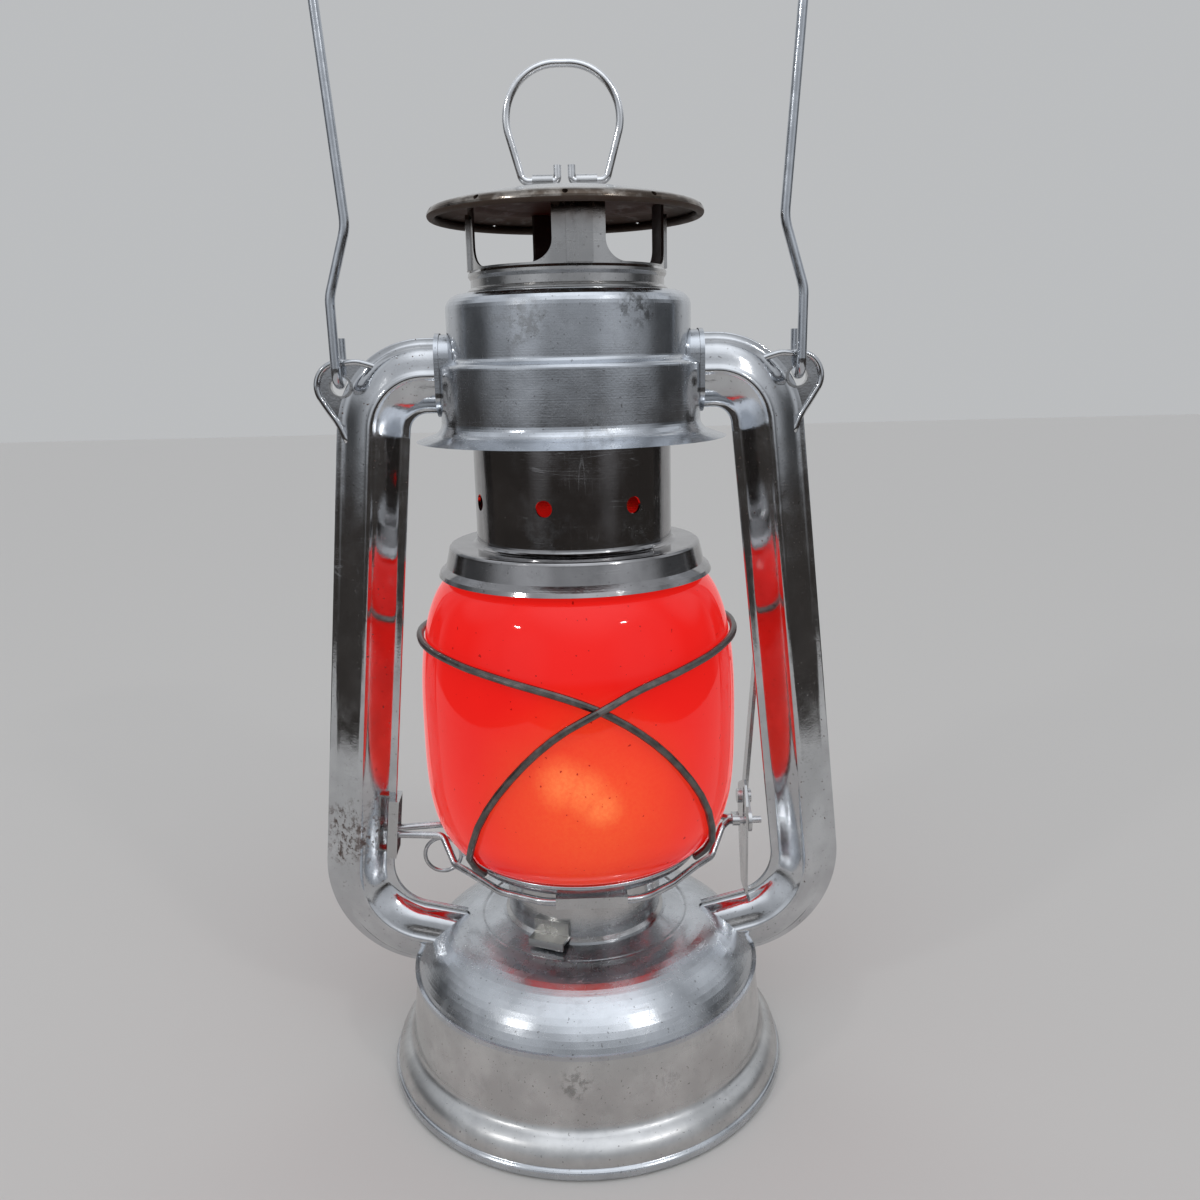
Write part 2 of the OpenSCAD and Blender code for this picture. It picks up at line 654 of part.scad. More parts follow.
module filler_cap() color(bright_tin) at_filler() {
    inner = filler_r + filler_play;
    outer = inner + cap_wall;
    top = filler_h + rest_gap + gasket_t + rest_gap + cap_wall;
    difference() {
        union() {
            translate([0, 0, top - filler_cap_h]) cylinder(r = outer, h = filler_cap_h - 0.8);
            translate([0, 0, top - 0.8]) cylinder(r1 = outer, r2 = outer - 0.8, h = 0.8);
        }
        translate([0, 0, top - filler_cap_h - 1]) cylinder(r = inner, h = filler_cap_h + 1 - cap_wall);
        for (a = [0 : 15 : 345]) rotate(a) translate([outer + 0.7, 0, top - filler_cap_h - 1])
            cylinder(r = 1, h = filler_cap_h + 2);
    }
}

// ---- Side tubes ----

// Outline of a pressed half, grown by d: two rounded sides under a low roof
module tube_half(d) {
    r = tube_round + d;
    side = round_u + r * sin(tube_roof);
    top = round_v + r * cos(tube_roof);
    polygon([[-round_u - r, 0], [-round_u - r, round_v], [-side, top], [0, top + side * tan(tube_roof)], [side, top],
        [round_u + r, round_v], [round_u + r, 0]]);
    for (u = [-round_u, round_u]) translate([u, round_v]) circle(r);
}

module tube_section(swell = 0) difference() {
    union() {
        translate([-tube_w / 2 - swell, 0]) square([tube_w + 2 * swell, wall + swell]);
        intersection() {
            translate([-tube_w / 2, 0]) square([tube_w, 2 * tube_depth]);
            tube_half(swell);
        }
        translate([0, tube_depth - bead_r]) circle(bead_r + swell);
    }
    tube_half(-wall - swell);
    translate([-tube_edge + wall + swell, -10]) square([2 * (tube_edge - wall - swell), 10 + round_v]);
}

// Straight stretch of length h from a point of the centre line, where the outward side is at angle a
module tube_straight(from, a, h) translate([from[0], 0, from[1]]) rotate([0, -a, 0]) rotate([180, 0, 0])
    translate([0, 0, -bend_lap]) linear_extrude(h + 2 * bend_lap) tube_section();

module tube_bend(c, r, a0, a1) translate([c[0], 0, c[1]]) rotate([90, 0, 0]) rotate(a0)
    rotate_extrude(angle = a1 - a0) translate([r, 0]) tube_section(bend_swell);

module ear_plate() difference() {
    union() {
        linear_extrude(wall) union() {
            translate([ear_x, ear_z]) circle(ear_r);
            polygon([[ear_x - 12, ear_z + ear_r - 2], [ear_x, ear_z + ear_r],
                [ear_x + ear_r * 0.85, ear_z - ear_r * 0.53],
                [ear_x + 1, ear_z - 12.5], [ear_x - 4, ear_z - 9]]);
        }
        linear_extrude(2 * wall) difference() {
            translate([ear_x, ear_z]) circle(ear_r);
            translate([ear_x, ear_z]) circle(ear_r - ear_rim_w);
        }
    }
    translate([top_bend_x, top_bend_z, -1]) cylinder(r = top_bend_r + tube_edge - wall / 2, h = 4);
}

module tube_front() color(bright_tin) difference() {
    union() {
        tube_straight([tube_start_x, tube_top_z], 90, top_bend_x - tube_start_x);
        tube_bend([top_bend_x, top_bend_z], top_bend_r, splay, 90);
        tube_straight(run_top, splay, tube_run);
        tube_bend(low_bend, low_bend_r, low_end_angle, splay);
        tube_straight(low_end, low_end_angle, tail_len);
        rotate([90, 0, 0]) ear_plate();
    }
    translate([ear_x, 1, ear_z]) rotate([90, 0, 0]) cylinder(r = ear_hole_r + eyelet_wall + seat_gap, h = 4);
    tank_envelope();
}

module right_tube_front() tube_front();
module right_tube_back() mirror([0, 1, 0]) tube_front();
module left_tube_front() mirror([1, 0, 0]) tube_front();
module left_tube_back() mirror([1, 0, 0]) mirror([0, 1, 0]) tube_front();

module ear_eyelets() color(bright_tin) {
    half = wall + bend_swell;
    for (side = [-1, 1]) translate([side * ear_x, 0, ear_z]) rotate([90, 0, 0]) difference() {
        union() {
            translate([0, 0, -half - eyelet_lip]) cylinder(r = ear_hole_r + eyelet_wall, h = 2 * half + 2 * eyelet_lip);
            for (z = [-half - eyelet_lip, half]) translate([0, 0, z])
                cylinder(r = ear_hole_r + eyelet_flange, h = eyelet_lip);
        }
        translate([0, 0, -2 * half]) cylinder(r = ear_hole_r, h = 4 * half);
    }
}

// ---- Hood and spring ----

module rounded_slot(half_w, half_d, corner) union() {
    square([2 * half_w, 2 * (half_d - corner)], center = true);
    square([2 * (half_w - corner), 2 * half_d], center = true);
    for (x = [-1, 1], y = [-1, 1]) translate([x * (half_w - corner), y * (half_d - corner)]) circle(corner);
}

// Extrudes a slot outline, tall along Z, from x = a to x = b
module slot_bar(a, b, grow) translate([a, 0, tube_top_z]) rotate([0, 90, 0])
    linear_extrude(b - a) rounded_slot(socket_half_w + grow, socket_half_d + grow, socket_corner + grow);

module hood() color(tin) {
    inner = inset(hood_outline, wall);
    difference() {
        union() {
            turned_solid(hood_outline);
            for (m = [0, 1]) mirror([m, 0, 0]) {
                slot_bar(hood_high_r - 8, socket_x, 0);
                slot_bar(socket_x - 1.4, socket_x, 0.35);
            }
        }
        turned_solid(concat([[hood_rim_r - wall / 2, hood_rim_z - 1]], inner));
        for (m = [0, 1]) mirror([m, 0, 0]) slot_bar(hood_high_r - 9, socket_x + 1, -socket_wall);
        translate([0, 0, hood_top_z - 5]) cylinder(r = hood_hole_r, h = 10);
    }
}

module chimney_spring() color(dark_wire) {
    low = collar_top_z + rest_gap + spring_wire_r;
    high = hood_top_z - wall - rest_gap - spring_wire_r;
    steps = 17 * spring_turns;
    swept([for (i = [0 : steps]) let (a = 360 * spring_turns * i / steps)
        [spring_r * cos(a), spring_r * sin(a), low + (high - low) * i / steps]], spring_wire_r, 8);
}

// ---- Brackets ----

// Places a shape drawn on the left tube's straight stretch: across the tube, towards the front, down the tube
module on_left_run() mirror([1, 0, 0]) translate([run_top[0], 0, run_top[1]]) rotate([0, -splay, 0])
    rotate([180, 0, 0]) children();

module guide_bracket() color(bright_tin) on_left_run() {
    w_top = (run_top[1] - carrier_z - globe_travel - carrier_wire_r - slide_gap) / cos(splay) - wall - 1.4;
    w_low = (run_top[1] - carrier_z + carrier_wire_r + slide_gap) / cos(splay) + 5;
    edge = -tube_w / 2;
    side = straddle_y + carrier_wire_r + slide_gap;
    for (m = [0, 1]) mirror([0, m, 0]) {
        translate([edge - 1.2, side, w_top]) cube([3.2, wall, w_low - w_top]);
        for (w = [w_top, w_low - wall]) {
            translate([edge - 1.2, wall, w]) cube([3.2, side, wall]);
            translate([edge - 1.2, 0, w]) cube([1.2 - seat_gap, side, wall]);
        }
    }
}

module lever_bracket() color(bright_tin) difference() {
    translate([bracket_x, 0, 0]) rotate([90, 0, 90]) linear_extrude(wall) polygon([
        [-5, bracket_low_z + 0.3], [5, bracket_low_z + 0.3], [pivot_y + 4, pivot_lever_z - 8],
        [pivot_y + 4, pivot_lever_z + 3], [pivot_y + 1, pivot_lever_z + 5], [1, bracket_top_z], [-1.5, bracket_top_z - 1],
        [-5, pivot_lever_z + 2]]);
    translate([bracket_x - 1, -bracket_slot, carrier_z - bracket_slot])
        cube([wall + 2, 2 * bracket_slot, globe_travel + 2 * bracket_slot]);
    translate([bracket_x - 1, pivot_y, pivot_lever_z]) rotate([0, 90, 0])
        cylinder(r = rivet_r + seat_gap, h = wall + 2);
}

module lever_rivet() color(bright_tin) translate([bracket_x, pivot_y, pivot_lever_z]) rotate([0, 90, 0]) {
    gap = lever_x - bracket_x + lever_t + 0.35;
    translate([0, 0, -1]) cylinder(r = rivet_r + 1, h = 1);
    cylinder(r = rivet_r, h = gap);
    translate([0, 0, gap]) cylinder(r = rivet_r + 1, h = 1);
}

module lift_lever() color(bright_tin) translate([lever_x, pivot_y, pivot_lever_z]) {
    slot_r = carrier_wire_r + slide_gap + 0.1;
    difference() {
        union() {
            rotate([0, 90, 0]) cylinder(r = 4, h = lever_t);
            rotate([wire_angle, 0, 0]) translate([0, 0, -4]) cube([lever_t, wire_reach, 8]);
            rotate([wire_angle, 0, 0]) translate([0, wire_reach, 0]) rotate([0, 90, 0]) cylinder(r = 4, h = lever_t);
            multmatrix([[1, 0, handle_lean[0], 0], [0, 1, handle_lean[1], 0], [0, 0, 1, 0]])
                translate([0, -lever_w / 2 + 1, 0]) cube([lever_t, lever_w, lever_len]);
        }
        rotate([0, 90, 0]) translate([0, 0, -1]) cylinder(r = rivet_r + pin_gap, h = lever_t + 2);
        for (reach = [pivot_y, wire_reach]) rotate([wire_angle, 0, 0]) translate([-1, reach, 0]) rotate([0, 90, 0])
            cylinder(r = slot_r, h = lever_t + 2);
        rotate([wire_angle, 0, 0]) translate([-1, pivot_y, -slot_r])
            cube([lever_t + 2, wire_reach - pivot_y, 2 * slot_r]);
    }
    translate([handle_lean[0] * lever_len, handle_lean[1] * lever_len - 4, lever_len - wall]) cube([9, 10, lever_t]);
}

// ---- Globe and carrier ----

module globe_plate() color(tin) difference() {
    union() {
        turned_sheet(plate_outline, -wall);
        rotate_extrude() translate([plate_r - 0.9, plate_rim_z]) circle(0.9);
    }
    for (a = [0 : 15 : 345]) rotate(a) translate([(plate_hole_r + plate_r - 8) / 2 + 3, 0, plate_z - 1])
        cylinder(r = 1.3, h = wall + 2);
}

// Corners of a carrier wire under the plate, from the left elbow to the right one, for the front half
carrier_corners = concat(
    [[-carrier_elbow[0], -carrier_elbow[1], carrier_z], [-carrier_dip[0], -carrier_dip[1], front_wire_z - 0.5]],
    [for (a = [-152, -130]) carrier_ring_r * [cos(a), sin(a), 0] + [0, 0, front_wire_z]],
    [for (x = carrier_front_x) [x, -front_wire_y, front_wire_z]],
    [for (a = [-47, -28]) carrier_ring_r * [cos(a), sin(a), 0] + [0, 0, front_wire_z]],
    [[carrier_dip[0], -carrier_dip[1], front_wire_z - 0.5], [carrier_elbow[0], -carrier_elbow[1], carrier_z]]);
carrier_bends = [3, 3, 6, 12, 12, 12, 12, 6, 3, 2.5];

module carrier_wire_front() color(bright_tin) wire(
    concat([[-carrier_left_x, -straddle_y, carrier_z]], carrier_corners,
        [[splice_x - 1.2, 0, carrier_z], [carrier_right_x, 0, carrier_z]]),
    concat([0], carrier_bends, [2.5, 0]), carrier_wire_r);

module carrier_wire_back() color(bright_tin) mirror([0, 1, 0]) wire(
    concat([[-carrier_left_x, -straddle_y, carrier_z]], carrier_corners,
        [[splice_x - 1.6, -splice_y, carrier_z], [splice_x + splice_len + 0.2, -splice_y, carrier_z]]),
    concat([0], carrier_bends, [2.5, 0]), carrier_wire_r);

module clip_strap() difference() {
    x0 = carrier_front_x[0] + 3.2;
    x1 = carrier_front_x[1] - 4.8;
    back_y = front_wire_y - 6;
    low = front_wire_z - carrier_wire_r - seat_gap;
    translate([x0, -front_wire_y - carrier_wire_r - seat_gap - clip_t, low - clip_t])
        cube([x1 - x0, front_wire_y - back_y + carrier_wire_r + clip_t, plate_z - low + clip_t]);
    translate([x0 - 1, -front_wire_y - carrier_wire_r - seat_gap, low]) cube([x1 - x0 + 2, 12, plate_z - clip_t - low]);
}

module carrier_clips() color(bright_tin) {
    clip_strap();
    mirror([0, 1, 0]) clip_strap();
}

module carrier_splice() color(bright_tin) difference() {
    grip = carrier_wire_r + seat_gap;
    translate([splice_x, 0, carrier_z]) rotate([0, 90, 0]) linear_extrude(splice_len) union() {
        circle(grip + 0.6);
        translate([0, splice_y]) circle(grip + 0.6);
        translate([-grip - 0.6, 0]) square([2 * grip + 1.2, splice_y]);
    }
    translate([splice_x - 1, 0, carrier_z]) rotate([0, 90, 0]) linear_extrude(splice_len + 2) union() {
        circle(grip);
        translate([0, splice_y]) circle(grip);
        translate([-grip, 0]) square([2 * grip, splice_y]);
    }
}

// How far up a guard wire is, from 0 to 1, at t degrees from the middle of the front towards its high side
guard_rise = [[-52, 0], [-47, 0.12], [-40, 0.29], [-30, 0.473], [-20, 0.625], [-10, 0.739], [0, 0.823], [10, 0.877], [20, 0.913],
    [35, 0.951], [55, 0.982], [90, 1]];
function guard_z(t) = guard_low_z + (guard_high_z - guard_low_z)
    * (lookup(t - 4, guard_rise) + 2 * lookup(t, guard_rise) + lookup(t + 4, guard_rise)) / 4;

// Point [r, z] at distance d outside the globe's surface at height z
function off_globe(z, d) =
    let (slope = (globe_radius(z + 0.2) - globe_radius(z - 0.2)) / 0.4) [globe_radius(z), z] + d * unit([1, -slope]);

// A guard wire: from the plate's rim up across the front, round its high side and down the back
module guard_wire(high, over) {
    start = -52;
    steps = 60;
    off = guard_gap + guard_wire_r;
    ends = concat([[plate_r + guard_wire_r + 0.1, plate_rim_z - 0.2]],
        [for (z = [0.35, 0.65]) off_globe(globe_low_z + (guard_low_z - globe_low_z) * z, off)]);
    body = [for (i = [0 : steps]) let (s = start + (180 - 2 * start) * i / steps, t = s > 90 ? 180 - s : s)
        let (q = off_globe(guard_z(t), off), lift = over ? guard_over * exp(-pow(t / 9, 2)) : 0) [s, q[0] + lift, q[1]]];
    all = concat([for (i = [0 : 2]) [start - 1.5 + 0.4 * i, ends[i][0], ends[i][1]]], body,
        [for (i = [2, 1, 0]) [181.5 - start - 0.4 * i, ends[i][0], ends[i][1]]]);
    rotate(guard_turn)
        swept([for (q = all) let (a = -90 + high * q[0]) [q[1] * cos(a), q[1] * sin(a), q[2]]], guard_wire_r, 10);
}

module guard_wire_left() color(dark_wire) guard_wire(-1, false);
module guard_wire_right() color(dark_wire) guard_wire(1, true);

module globe() color([0.85, 0.09, 0.06]) turned_sheet(globe_outline, glass);

// ---- Chimney ----

module globe_collar() color(tin) difference() {
    turned_sheet(collar_outline);
    for (k = [0 : air_holes - 1]) rotate(-90 - 16.5 + 360 / air_holes * k) translate([collar_r - 3, 0, air_hole_z])
        rotate([0, 90, 0]) cylinder(r = air_hole_r, h = 6);
}

module flue_tube() color(sooty) {
    washer(flue_r, flue_r - wall, flue_low_z, sill_z - 2 - flue_low_z);
    washer(flue_seat_r, flue_r - wall / 2, collar_top_z - 2 * wall, wall);
}

module crown() color(tin) {
    half = 45 - asin(post_w / 2 / crown_r);
    win = crown_r * sin(half);
    outline = [[crown_foot_r, crown_foot_z], [crown_foot_r, crown_foot_z + 0.4], [crown_r, crown_foot_z + 1.4],
        [crown_r, sill_z - 3.2], [crown_r + 0.7, sill_z - 2.2], [crown_r + 0.7, sill_z - 1.4], [crown_r, sill_z - 0.6],
        [crown_r, post_top_z]];
    difference() {
        turned_sheet(outline);
        for (k = [0 : 3]) rotate(-45 + post_turn + 90 * k) translate([crown_r - 8, 0, 0]) rotate([90, 0, 90])
            linear_extrude(14) translate([-win, sill_z]) union() {
                translate([window_round, 0]) square([2 * (win - window_round), 30]);
                translate([0, window_round]) square([2 * win, 30]);
                for (x = [window_round, 2 * win - window_round]) translate([x, window_round]) circle(window_round);
            }
    }
    for (k = [0 : 3]) rotate(-90 + post_turn + 90 * k) difference() {
        translate([crown_r - wall - 4, -post_w / 4, sill_z - 0.4]) cube([wall + 4.8, post_w / 2, post_top_z - sill_z - 3]);
        translate([0, 0, sill_z - 2]) cylinder(r = crown_r - wall / 2, h = 30);
    }
}

module cap() color(sooty) difference() {
    union() {
        turned_sheet(cap_outline);
        rotate_extrude() translate([cap_r - 1.2, cap_rim_z - 0.6]) circle(1.2);
    }
    for (k = [0 : cap_holes - 1]) rotate(-90 + 360 / cap_holes * k) translate([cap_r - 2.2, 0, cap_rim_z - 0.6])
        rotate([0, 50, 0]) translate([0, 0, 0.8]) cylinder(r = cap_hole_r, h = 4);
}

module ring_clips() color(bright_tin) for (side = [0, 1]) mirror([side, 0, 0]) difference() {
    union() {
        translate([clip_x[0], 0, pivot_z]) rotate([0, 90, 0]) cylinder(r = clip_r, h = clip_x[1] - clip_x[0]);
        translate([clip_x[0], -wall, cap_top_z]) cube([clip_x[1] - clip_x[0], 2 * wall, ring_pivot_h]);
        translate([clip_x[0], -4, cap_top_z]) cube([clip_x[1] - clip_x[0], 8, wall]);
    }
    translate([0, 0, pivot_z]) rotate([0, 90, 0]) cylinder(r = ring_wire_r + pin_gap, h = 20);
}

module cap_ring() color(bright_tin) {
    half = [[ring_stub_x, 0, pivot_z + ring_stub_h], [ring_stub_x, 0, pivot_z], [ring_low_x, 0, pivot_z],
        [ring_high_x, 0, pivot_z + ring_h], [0, 0, pivot_z + ring_h]];
    for (side = [0, 1]) mirror([side, 0, 0]) wire(half, [0, ring_wire_r + 0.1, 2.4, ring_corner, 0], ring_wire_r);
}

module bail() color(bright_tin) {
    lean = atan2(arch_r - kink_high_x, arch_z - kink_high_z);
    foot = [arch_r * cos(lean), -hook_r, arch_z - arch_r * sin(lean)];
    for (side = [0, 1]) mirror([side, 0, 0]) {
        wire([[hook_x, -hook_r, hook_z - bend_lap], [kink_low_x, -hook_r, kink_low_z],
            [kink_high_x, -hook_r, kink_high_z], foot + bend_lap * unit(foot - [kink_high_x, -hook_r, kink_high_z])],
            [0, bail_bend, bail_bend, 0], bail_wire_r);
        translate([hook_x, 0, hook_z]) rotate([90, 0, 90]) rotate(180) rotate_extrude(angle = 180)
            translate([hook_r, 0]) circle(bail_wire_r + bend_swell);
        rod([hook_x, hook_r, hook_z - bend_lap], [hook_x, hook_r, hook_z + stub_len], bail_wire_r);
    }
    translate([0, -hook_r, arch_z]) rotate([90, 0, 0]) rotate(-lean) rotate_extrude(angle = 180 + 2 * lean)
        translate([arch_r, 0]) circle(bail_wire_r + bend_swell);
}

base_plate();
base_skirt();
tank_top();
filler_neck();
burner_collar();
burner_base();
burner_drum();
burner_catch();
wick_tube();
burner_cone();
left_tube_front();
left_tube_back();
right_tube_front();
right_tube_back();
ear_eyelets();
hood();
chimney_spring();
guide_bracket();
lever_bracket();
lever_rivet();
globe_plate();
carrier_wire_front();
carrier_wire_back();
carrier_clips();
carrier_splice();
guard_wire_left();
guard_wire_right();
globe();
globe_collar();
flue_tube();
crown();
cap();
ring_clips();
cap_ring();
bail();
lift_lever();
wick_spindle();
wick_wheels();
wick();
filler_gasket();
filler_cap();
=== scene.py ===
import math

import bmesh
import bpy
from mathutils import Matrix, Vector


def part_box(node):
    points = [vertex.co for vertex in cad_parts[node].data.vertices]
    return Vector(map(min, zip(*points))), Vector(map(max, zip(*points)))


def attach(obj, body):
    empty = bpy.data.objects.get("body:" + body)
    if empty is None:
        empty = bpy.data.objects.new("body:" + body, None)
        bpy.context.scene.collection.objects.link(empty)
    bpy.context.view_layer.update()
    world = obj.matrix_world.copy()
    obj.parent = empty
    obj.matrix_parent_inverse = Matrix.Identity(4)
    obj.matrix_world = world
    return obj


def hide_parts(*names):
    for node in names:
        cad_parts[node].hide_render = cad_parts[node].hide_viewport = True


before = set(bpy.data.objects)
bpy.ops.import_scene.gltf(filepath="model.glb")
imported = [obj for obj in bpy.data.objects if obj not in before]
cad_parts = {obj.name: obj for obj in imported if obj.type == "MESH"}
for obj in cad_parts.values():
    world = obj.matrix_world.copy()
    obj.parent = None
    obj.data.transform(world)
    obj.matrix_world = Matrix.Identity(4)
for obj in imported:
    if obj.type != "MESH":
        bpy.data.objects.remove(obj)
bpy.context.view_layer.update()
MM = 0.001

# ---------------------------------------------------------------- materials


class Tree:
    """Small helpers that add nodes to a shader tree."""

    def __init__(self, tree):
        self.tree = tree

    def node(self, kind, **props):
        n = self.tree.nodes.new(kind)
        for k, v in props.items():
            setattr(n, k, v)
        return n

    def link(self, a, b):
        self.tree.links.new(a, b)

    def put(self, socket, value):
        if isinstance(value, (int, float, tuple, list)):
            socket.default_value = value
        else:
            self.link(value, socket)

    def math(self, op, a, b=0.0):
        n = self.node("ShaderNodeMath", operation=op)
        for i, v in enumerate((a, b)):
            self.put(n.inputs[i], v)
        return n.outputs[0]

    def range(self, value, a, b, c=0.0, d=1.0):
        """Maps a to c and b to d, easing in and out; a may be the larger end."""
        n = self.node("ShaderNodeMapRange", interpolation_type="SMOOTHSTEP")
        self.link(value, n.inputs["Value"])
        for k, v in (("From Min", a), ("From Max", b), ("To Min", c), ("To Max", d)):
            n.inputs[k].default_value = v
        return n.outputs["Result"]

    def mix(self, fac, a, b):
        """Colour a where fac is 0, colour b where it is 1."""
        n = self.node("ShaderNodeMix", data_type="RGBA")
        self.put(n.inputs[0], fac)
        for i, v in ((6, a), (7, b)):
            self.put(n.inputs[i], (*v, 1) if isinstance(v, tuple) and len(v) == 3 else v)
        return n.outputs[2]

    def vector(self, op, a, b=(0, 0, 0), out="Value"):
        n = self.node("ShaderNodeVectorMath", operation=op)
        self.put(n.inputs[0], a)
        self.put(n.inputs[1], b)
        return n.outputs[out]

    def part(self, vector, i):
        n = self.node("ShaderNodeSeparateXYZ")
        self.link(vector, n.inputs[0])
        return n.outputs[i]


class Mat(Tree):
    """One procedural material; its noise lies in the piece's own coordinates, the row frame at rest."""

    def __init__(self, name):
        self.mat = bpy.data.materials.new(name)
        self.mat.use_nodes = True
        super().__init__(self.mat.node_tree)
        self.bsdf = self.tree.nodes["Principled BSDF"]
        coord = self.node("ShaderNodeTexCoord")
        self.coord = coord.outputs["Object"]
        self.normal = coord.outputs["Normal"]
        self.bumps = []

    def set(self, name, value):
        self.put(self.bsdf.inputs[name], value)

    def scaled(self, scale, rotate=(0, 0, 0)):
        n = self.node("ShaderNodeMapping")
        n.inputs["Scale"].default_value = scale
        n.inputs["Rotation"].default_value = rotate
        self.link(self.coord, n.inputs["Vector"])
        return n.outputs[0]

    def noise(self, scale, detail=2.0, rough=0.5, vector=None):
        n = self.node("ShaderNodeTexNoise")
        n.inputs["Scale"].default_value = scale
        n.inputs["Detail"].default_value = detail
        n.inputs["Roughness"].default_value = rough
        self.link(vector or self.coord, n.inputs["Vector"])
        return n.outputs["Fac"]

    def axis(self, i):
        return self.part(self.coord, i)

    def radius(self):
        """Distance from the axis, in metres."""
        return self.vector("LENGTH", self.vector("MULTIPLY", self.coord, (1, 1, 0), "Vector"))

    def outward(self):
        """1 where a face looks away from the axis, -1 where it looks at it."""
        flat = self.vector("MULTIPLY", self.coord, (1, 1, 0), "Vector")
        flat = self.vector("NORMALIZE", flat, out="Vector")
        return self.vector("DOT_PRODUCT", self.normal, flat)

    def blob(self, centre, radius, soft=0.35, wobble=0.0, scale=300):
        """1 inside a ball about centre, falling to 0, with an uneven edge."""
        d = self.vector("DISTANCE", self.coord, tuple(v * MM for v in centre))
        if wobble:
            shift = self.math("SUBTRACT", self.noise(scale, 3, 0.6), 0.5)
            shift = self.math("MULTIPLY", shift, wobble * radius * MM)
            d = self.math("ADD", d, shift)
        return self.range(d, radius * MM, radius * soft * MM)

    def lines(self, vector, width, detail=1.0):
        """Thin lines, as scratches run: 1 on a line."""
        f = self.noise(1.0, detail, 0.4, vector)
        return self.range(self.math("ABSOLUTE", self.math("SUBTRACT", f, 0.5)), width, width * 0.3)

    def bump(self, height, strength, distance):
        n = self.node("ShaderNodeBump")
        n.inputs["Strength"].default_value = strength
        n.inputs["Distance"].default_value = distance
        self.link(height, n.inputs["Height"])
        if self.bumps:
            self.link(self.bumps[-1], n.inputs["Normal"])
        self.bumps.append(n.outputs[0])
        self.link(n.outputs[0], self.bsdf.inputs["Normal"])


SOOT_BLACK, SOOT_BROWN = (0.030, 0.018, 0.013), (0.060, 0.036, 0.024)
PIT_GREY, SCRATCH_GREY = (0.10, 0.09, 0.085), (0.75, 0.75, 0.76)
TURNING_LINES = 2600.0  # noise steps to the metre along the axis


def tin(name, colour, rough, vary, grain, scratch, dents, stains=(), marks=None, turned=True, soot=None,
        tone=SOOT_BLACK):
    """Tinned sheet: soft blotches, speckle, turning lines, scratches, stains, and soot where it burns.

    rough +- vary is its roughness; grain, scratch and dents are strengths. stains are (centre in mm, radius
    in mm, colour, strength). marks(m, colour, roughness) returns both changed. soot(m) is 1 on sooted sheet.
    """
    m = Mat(name)
    blotch = m.noise(70, 3, 0.55)
    cloud = m.noise(190, 4, 0.65)
    speck = m.noise(1500, 2, 0.6)
    r = m.math("ADD", m.range(blotch, 0.3, 0.7, rough - vary, rough + vary),
               m.range(cloud, 0.3, 0.75, -0.03, 0.05))
    upright = m.lines(m.scaled((420, 420, 12), (0.12, 0.05, 0)), 0.010, 0.0)
    level = m.lines(m.scaled((30, 30, 520), (0.10, 0.16, 0)), 0.008, 0.0)
    fade = m.range(m.noise(150, 2), 0.50, 0.64)
    scr = m.math("MULTIPLY", m.math("MAXIMUM", upright, level), fade)
    nicks = m.math("MULTIPLY", m.range(m.noise(1700, 1, 0.5), 0.70, 0.75), m.range(m.noise(60, 2), 0.42, 0.6))
    scr = m.math("MAXIMUM", scr, nicks)
    r = m.math("ADD", r, m.math("MULTIPLY", scr, 0.3 * scratch))
    dark = tuple(c * 0.80 for c in colour)
    c = m.mix(m.range(blotch, 0.35, 0.75), dark, tuple(colour))
    c = m.mix(m.math("MULTIPLY", m.range(cloud, 0.52, 0.72), 0.3), c, tuple(v * 0.62 for v in colour))
    pits = m.range(m.noise(1100, 1, 0.5), 0.70, 0.76)
    c = m.mix(m.math("MULTIPLY", pits, 0.55), c, PIT_GREY)
    c = m.mix(m.math("MULTIPLY", scr, 0.25 * scratch), c, SCRATCH_GREY)
    for centre, radius, shade, amount in stains:
        s = m.math("MULTIPLY", m.blob(centre, radius, 0.3, 1.6, 260),
                   m.range(m.noise(420, 4, 0.7), 0.42, 0.6))
        c = m.mix(m.math("MULTIPLY", s, amount), c, shade)
        r = m.math("ADD", r, m.math("MULTIPLY", s, 0.25 * amount))
    if marks:
        c, r = marks(m, c, r)
    if soot:
        black = m.math("MULTIPLY", soot(m), m.range(cloud, 0.25, 0.5, 0.86, 1.0))
        c = m.mix(black, c, tone)
        r = m.math("ADD", r, m.math("MULTIPLY", black, 0.5))
        m.set("Metallic", m.range(black, 0.2, 0.9, 1.0, 0.15))
    else:
        m.set("Metallic", 1.0)
    m.set("Base Color", c)
    m.set("Roughness", r)
    m.bump(m.noise(55, 2, 0.5), dents, 0.0006)
    if turned:
        n = m.node("ShaderNodeTexNoise", noise_dimensions="1D")
        n.inputs["Scale"].default_value = 1.0
        m.link(m.math("MULTIPLY", m.axis(2), TURNING_LINES), n.inputs["W"])
        m.bump(n.outputs["Fac"], 0.06, 0.0001)
    m.bump(speck, grain * 0.3, 0.00012)
    m.bump(scr, 0.12 * scratch, 0.0001)
    return m.mat


RUST, HEAT_BROWN = (0.10, 0.055, 0.035), (0.13, 0.085, 0.060)
RIM_BROWN, RIM_BARE = (0.10, 0.078, 0.062), (0.30, 0.27, 0.24)
FLARE_TOP, FLARE_BELOW = 0.0165, 0.0135  # heights between which the band gives way to the flare, in metres


def skirt_marks(m, c, r):
    """The band is mirror bright, the flare below it satin with mottling."""
    flare = m.range(m.axis(2), FLARE_TOP, FLARE_BELOW)
    r = m.math("ADD", r, m.math("MULTIPLY", flare, 0.2))
    worn = m.math("MULTIPLY", m.range(m.noise(160, 4, 0.65), 0.48, 0.66), flare)
    c = m.mix(m.math("MULTIPLY", worn, 0.3), c, (0.40, 0.40, 0.41))
    return c, r


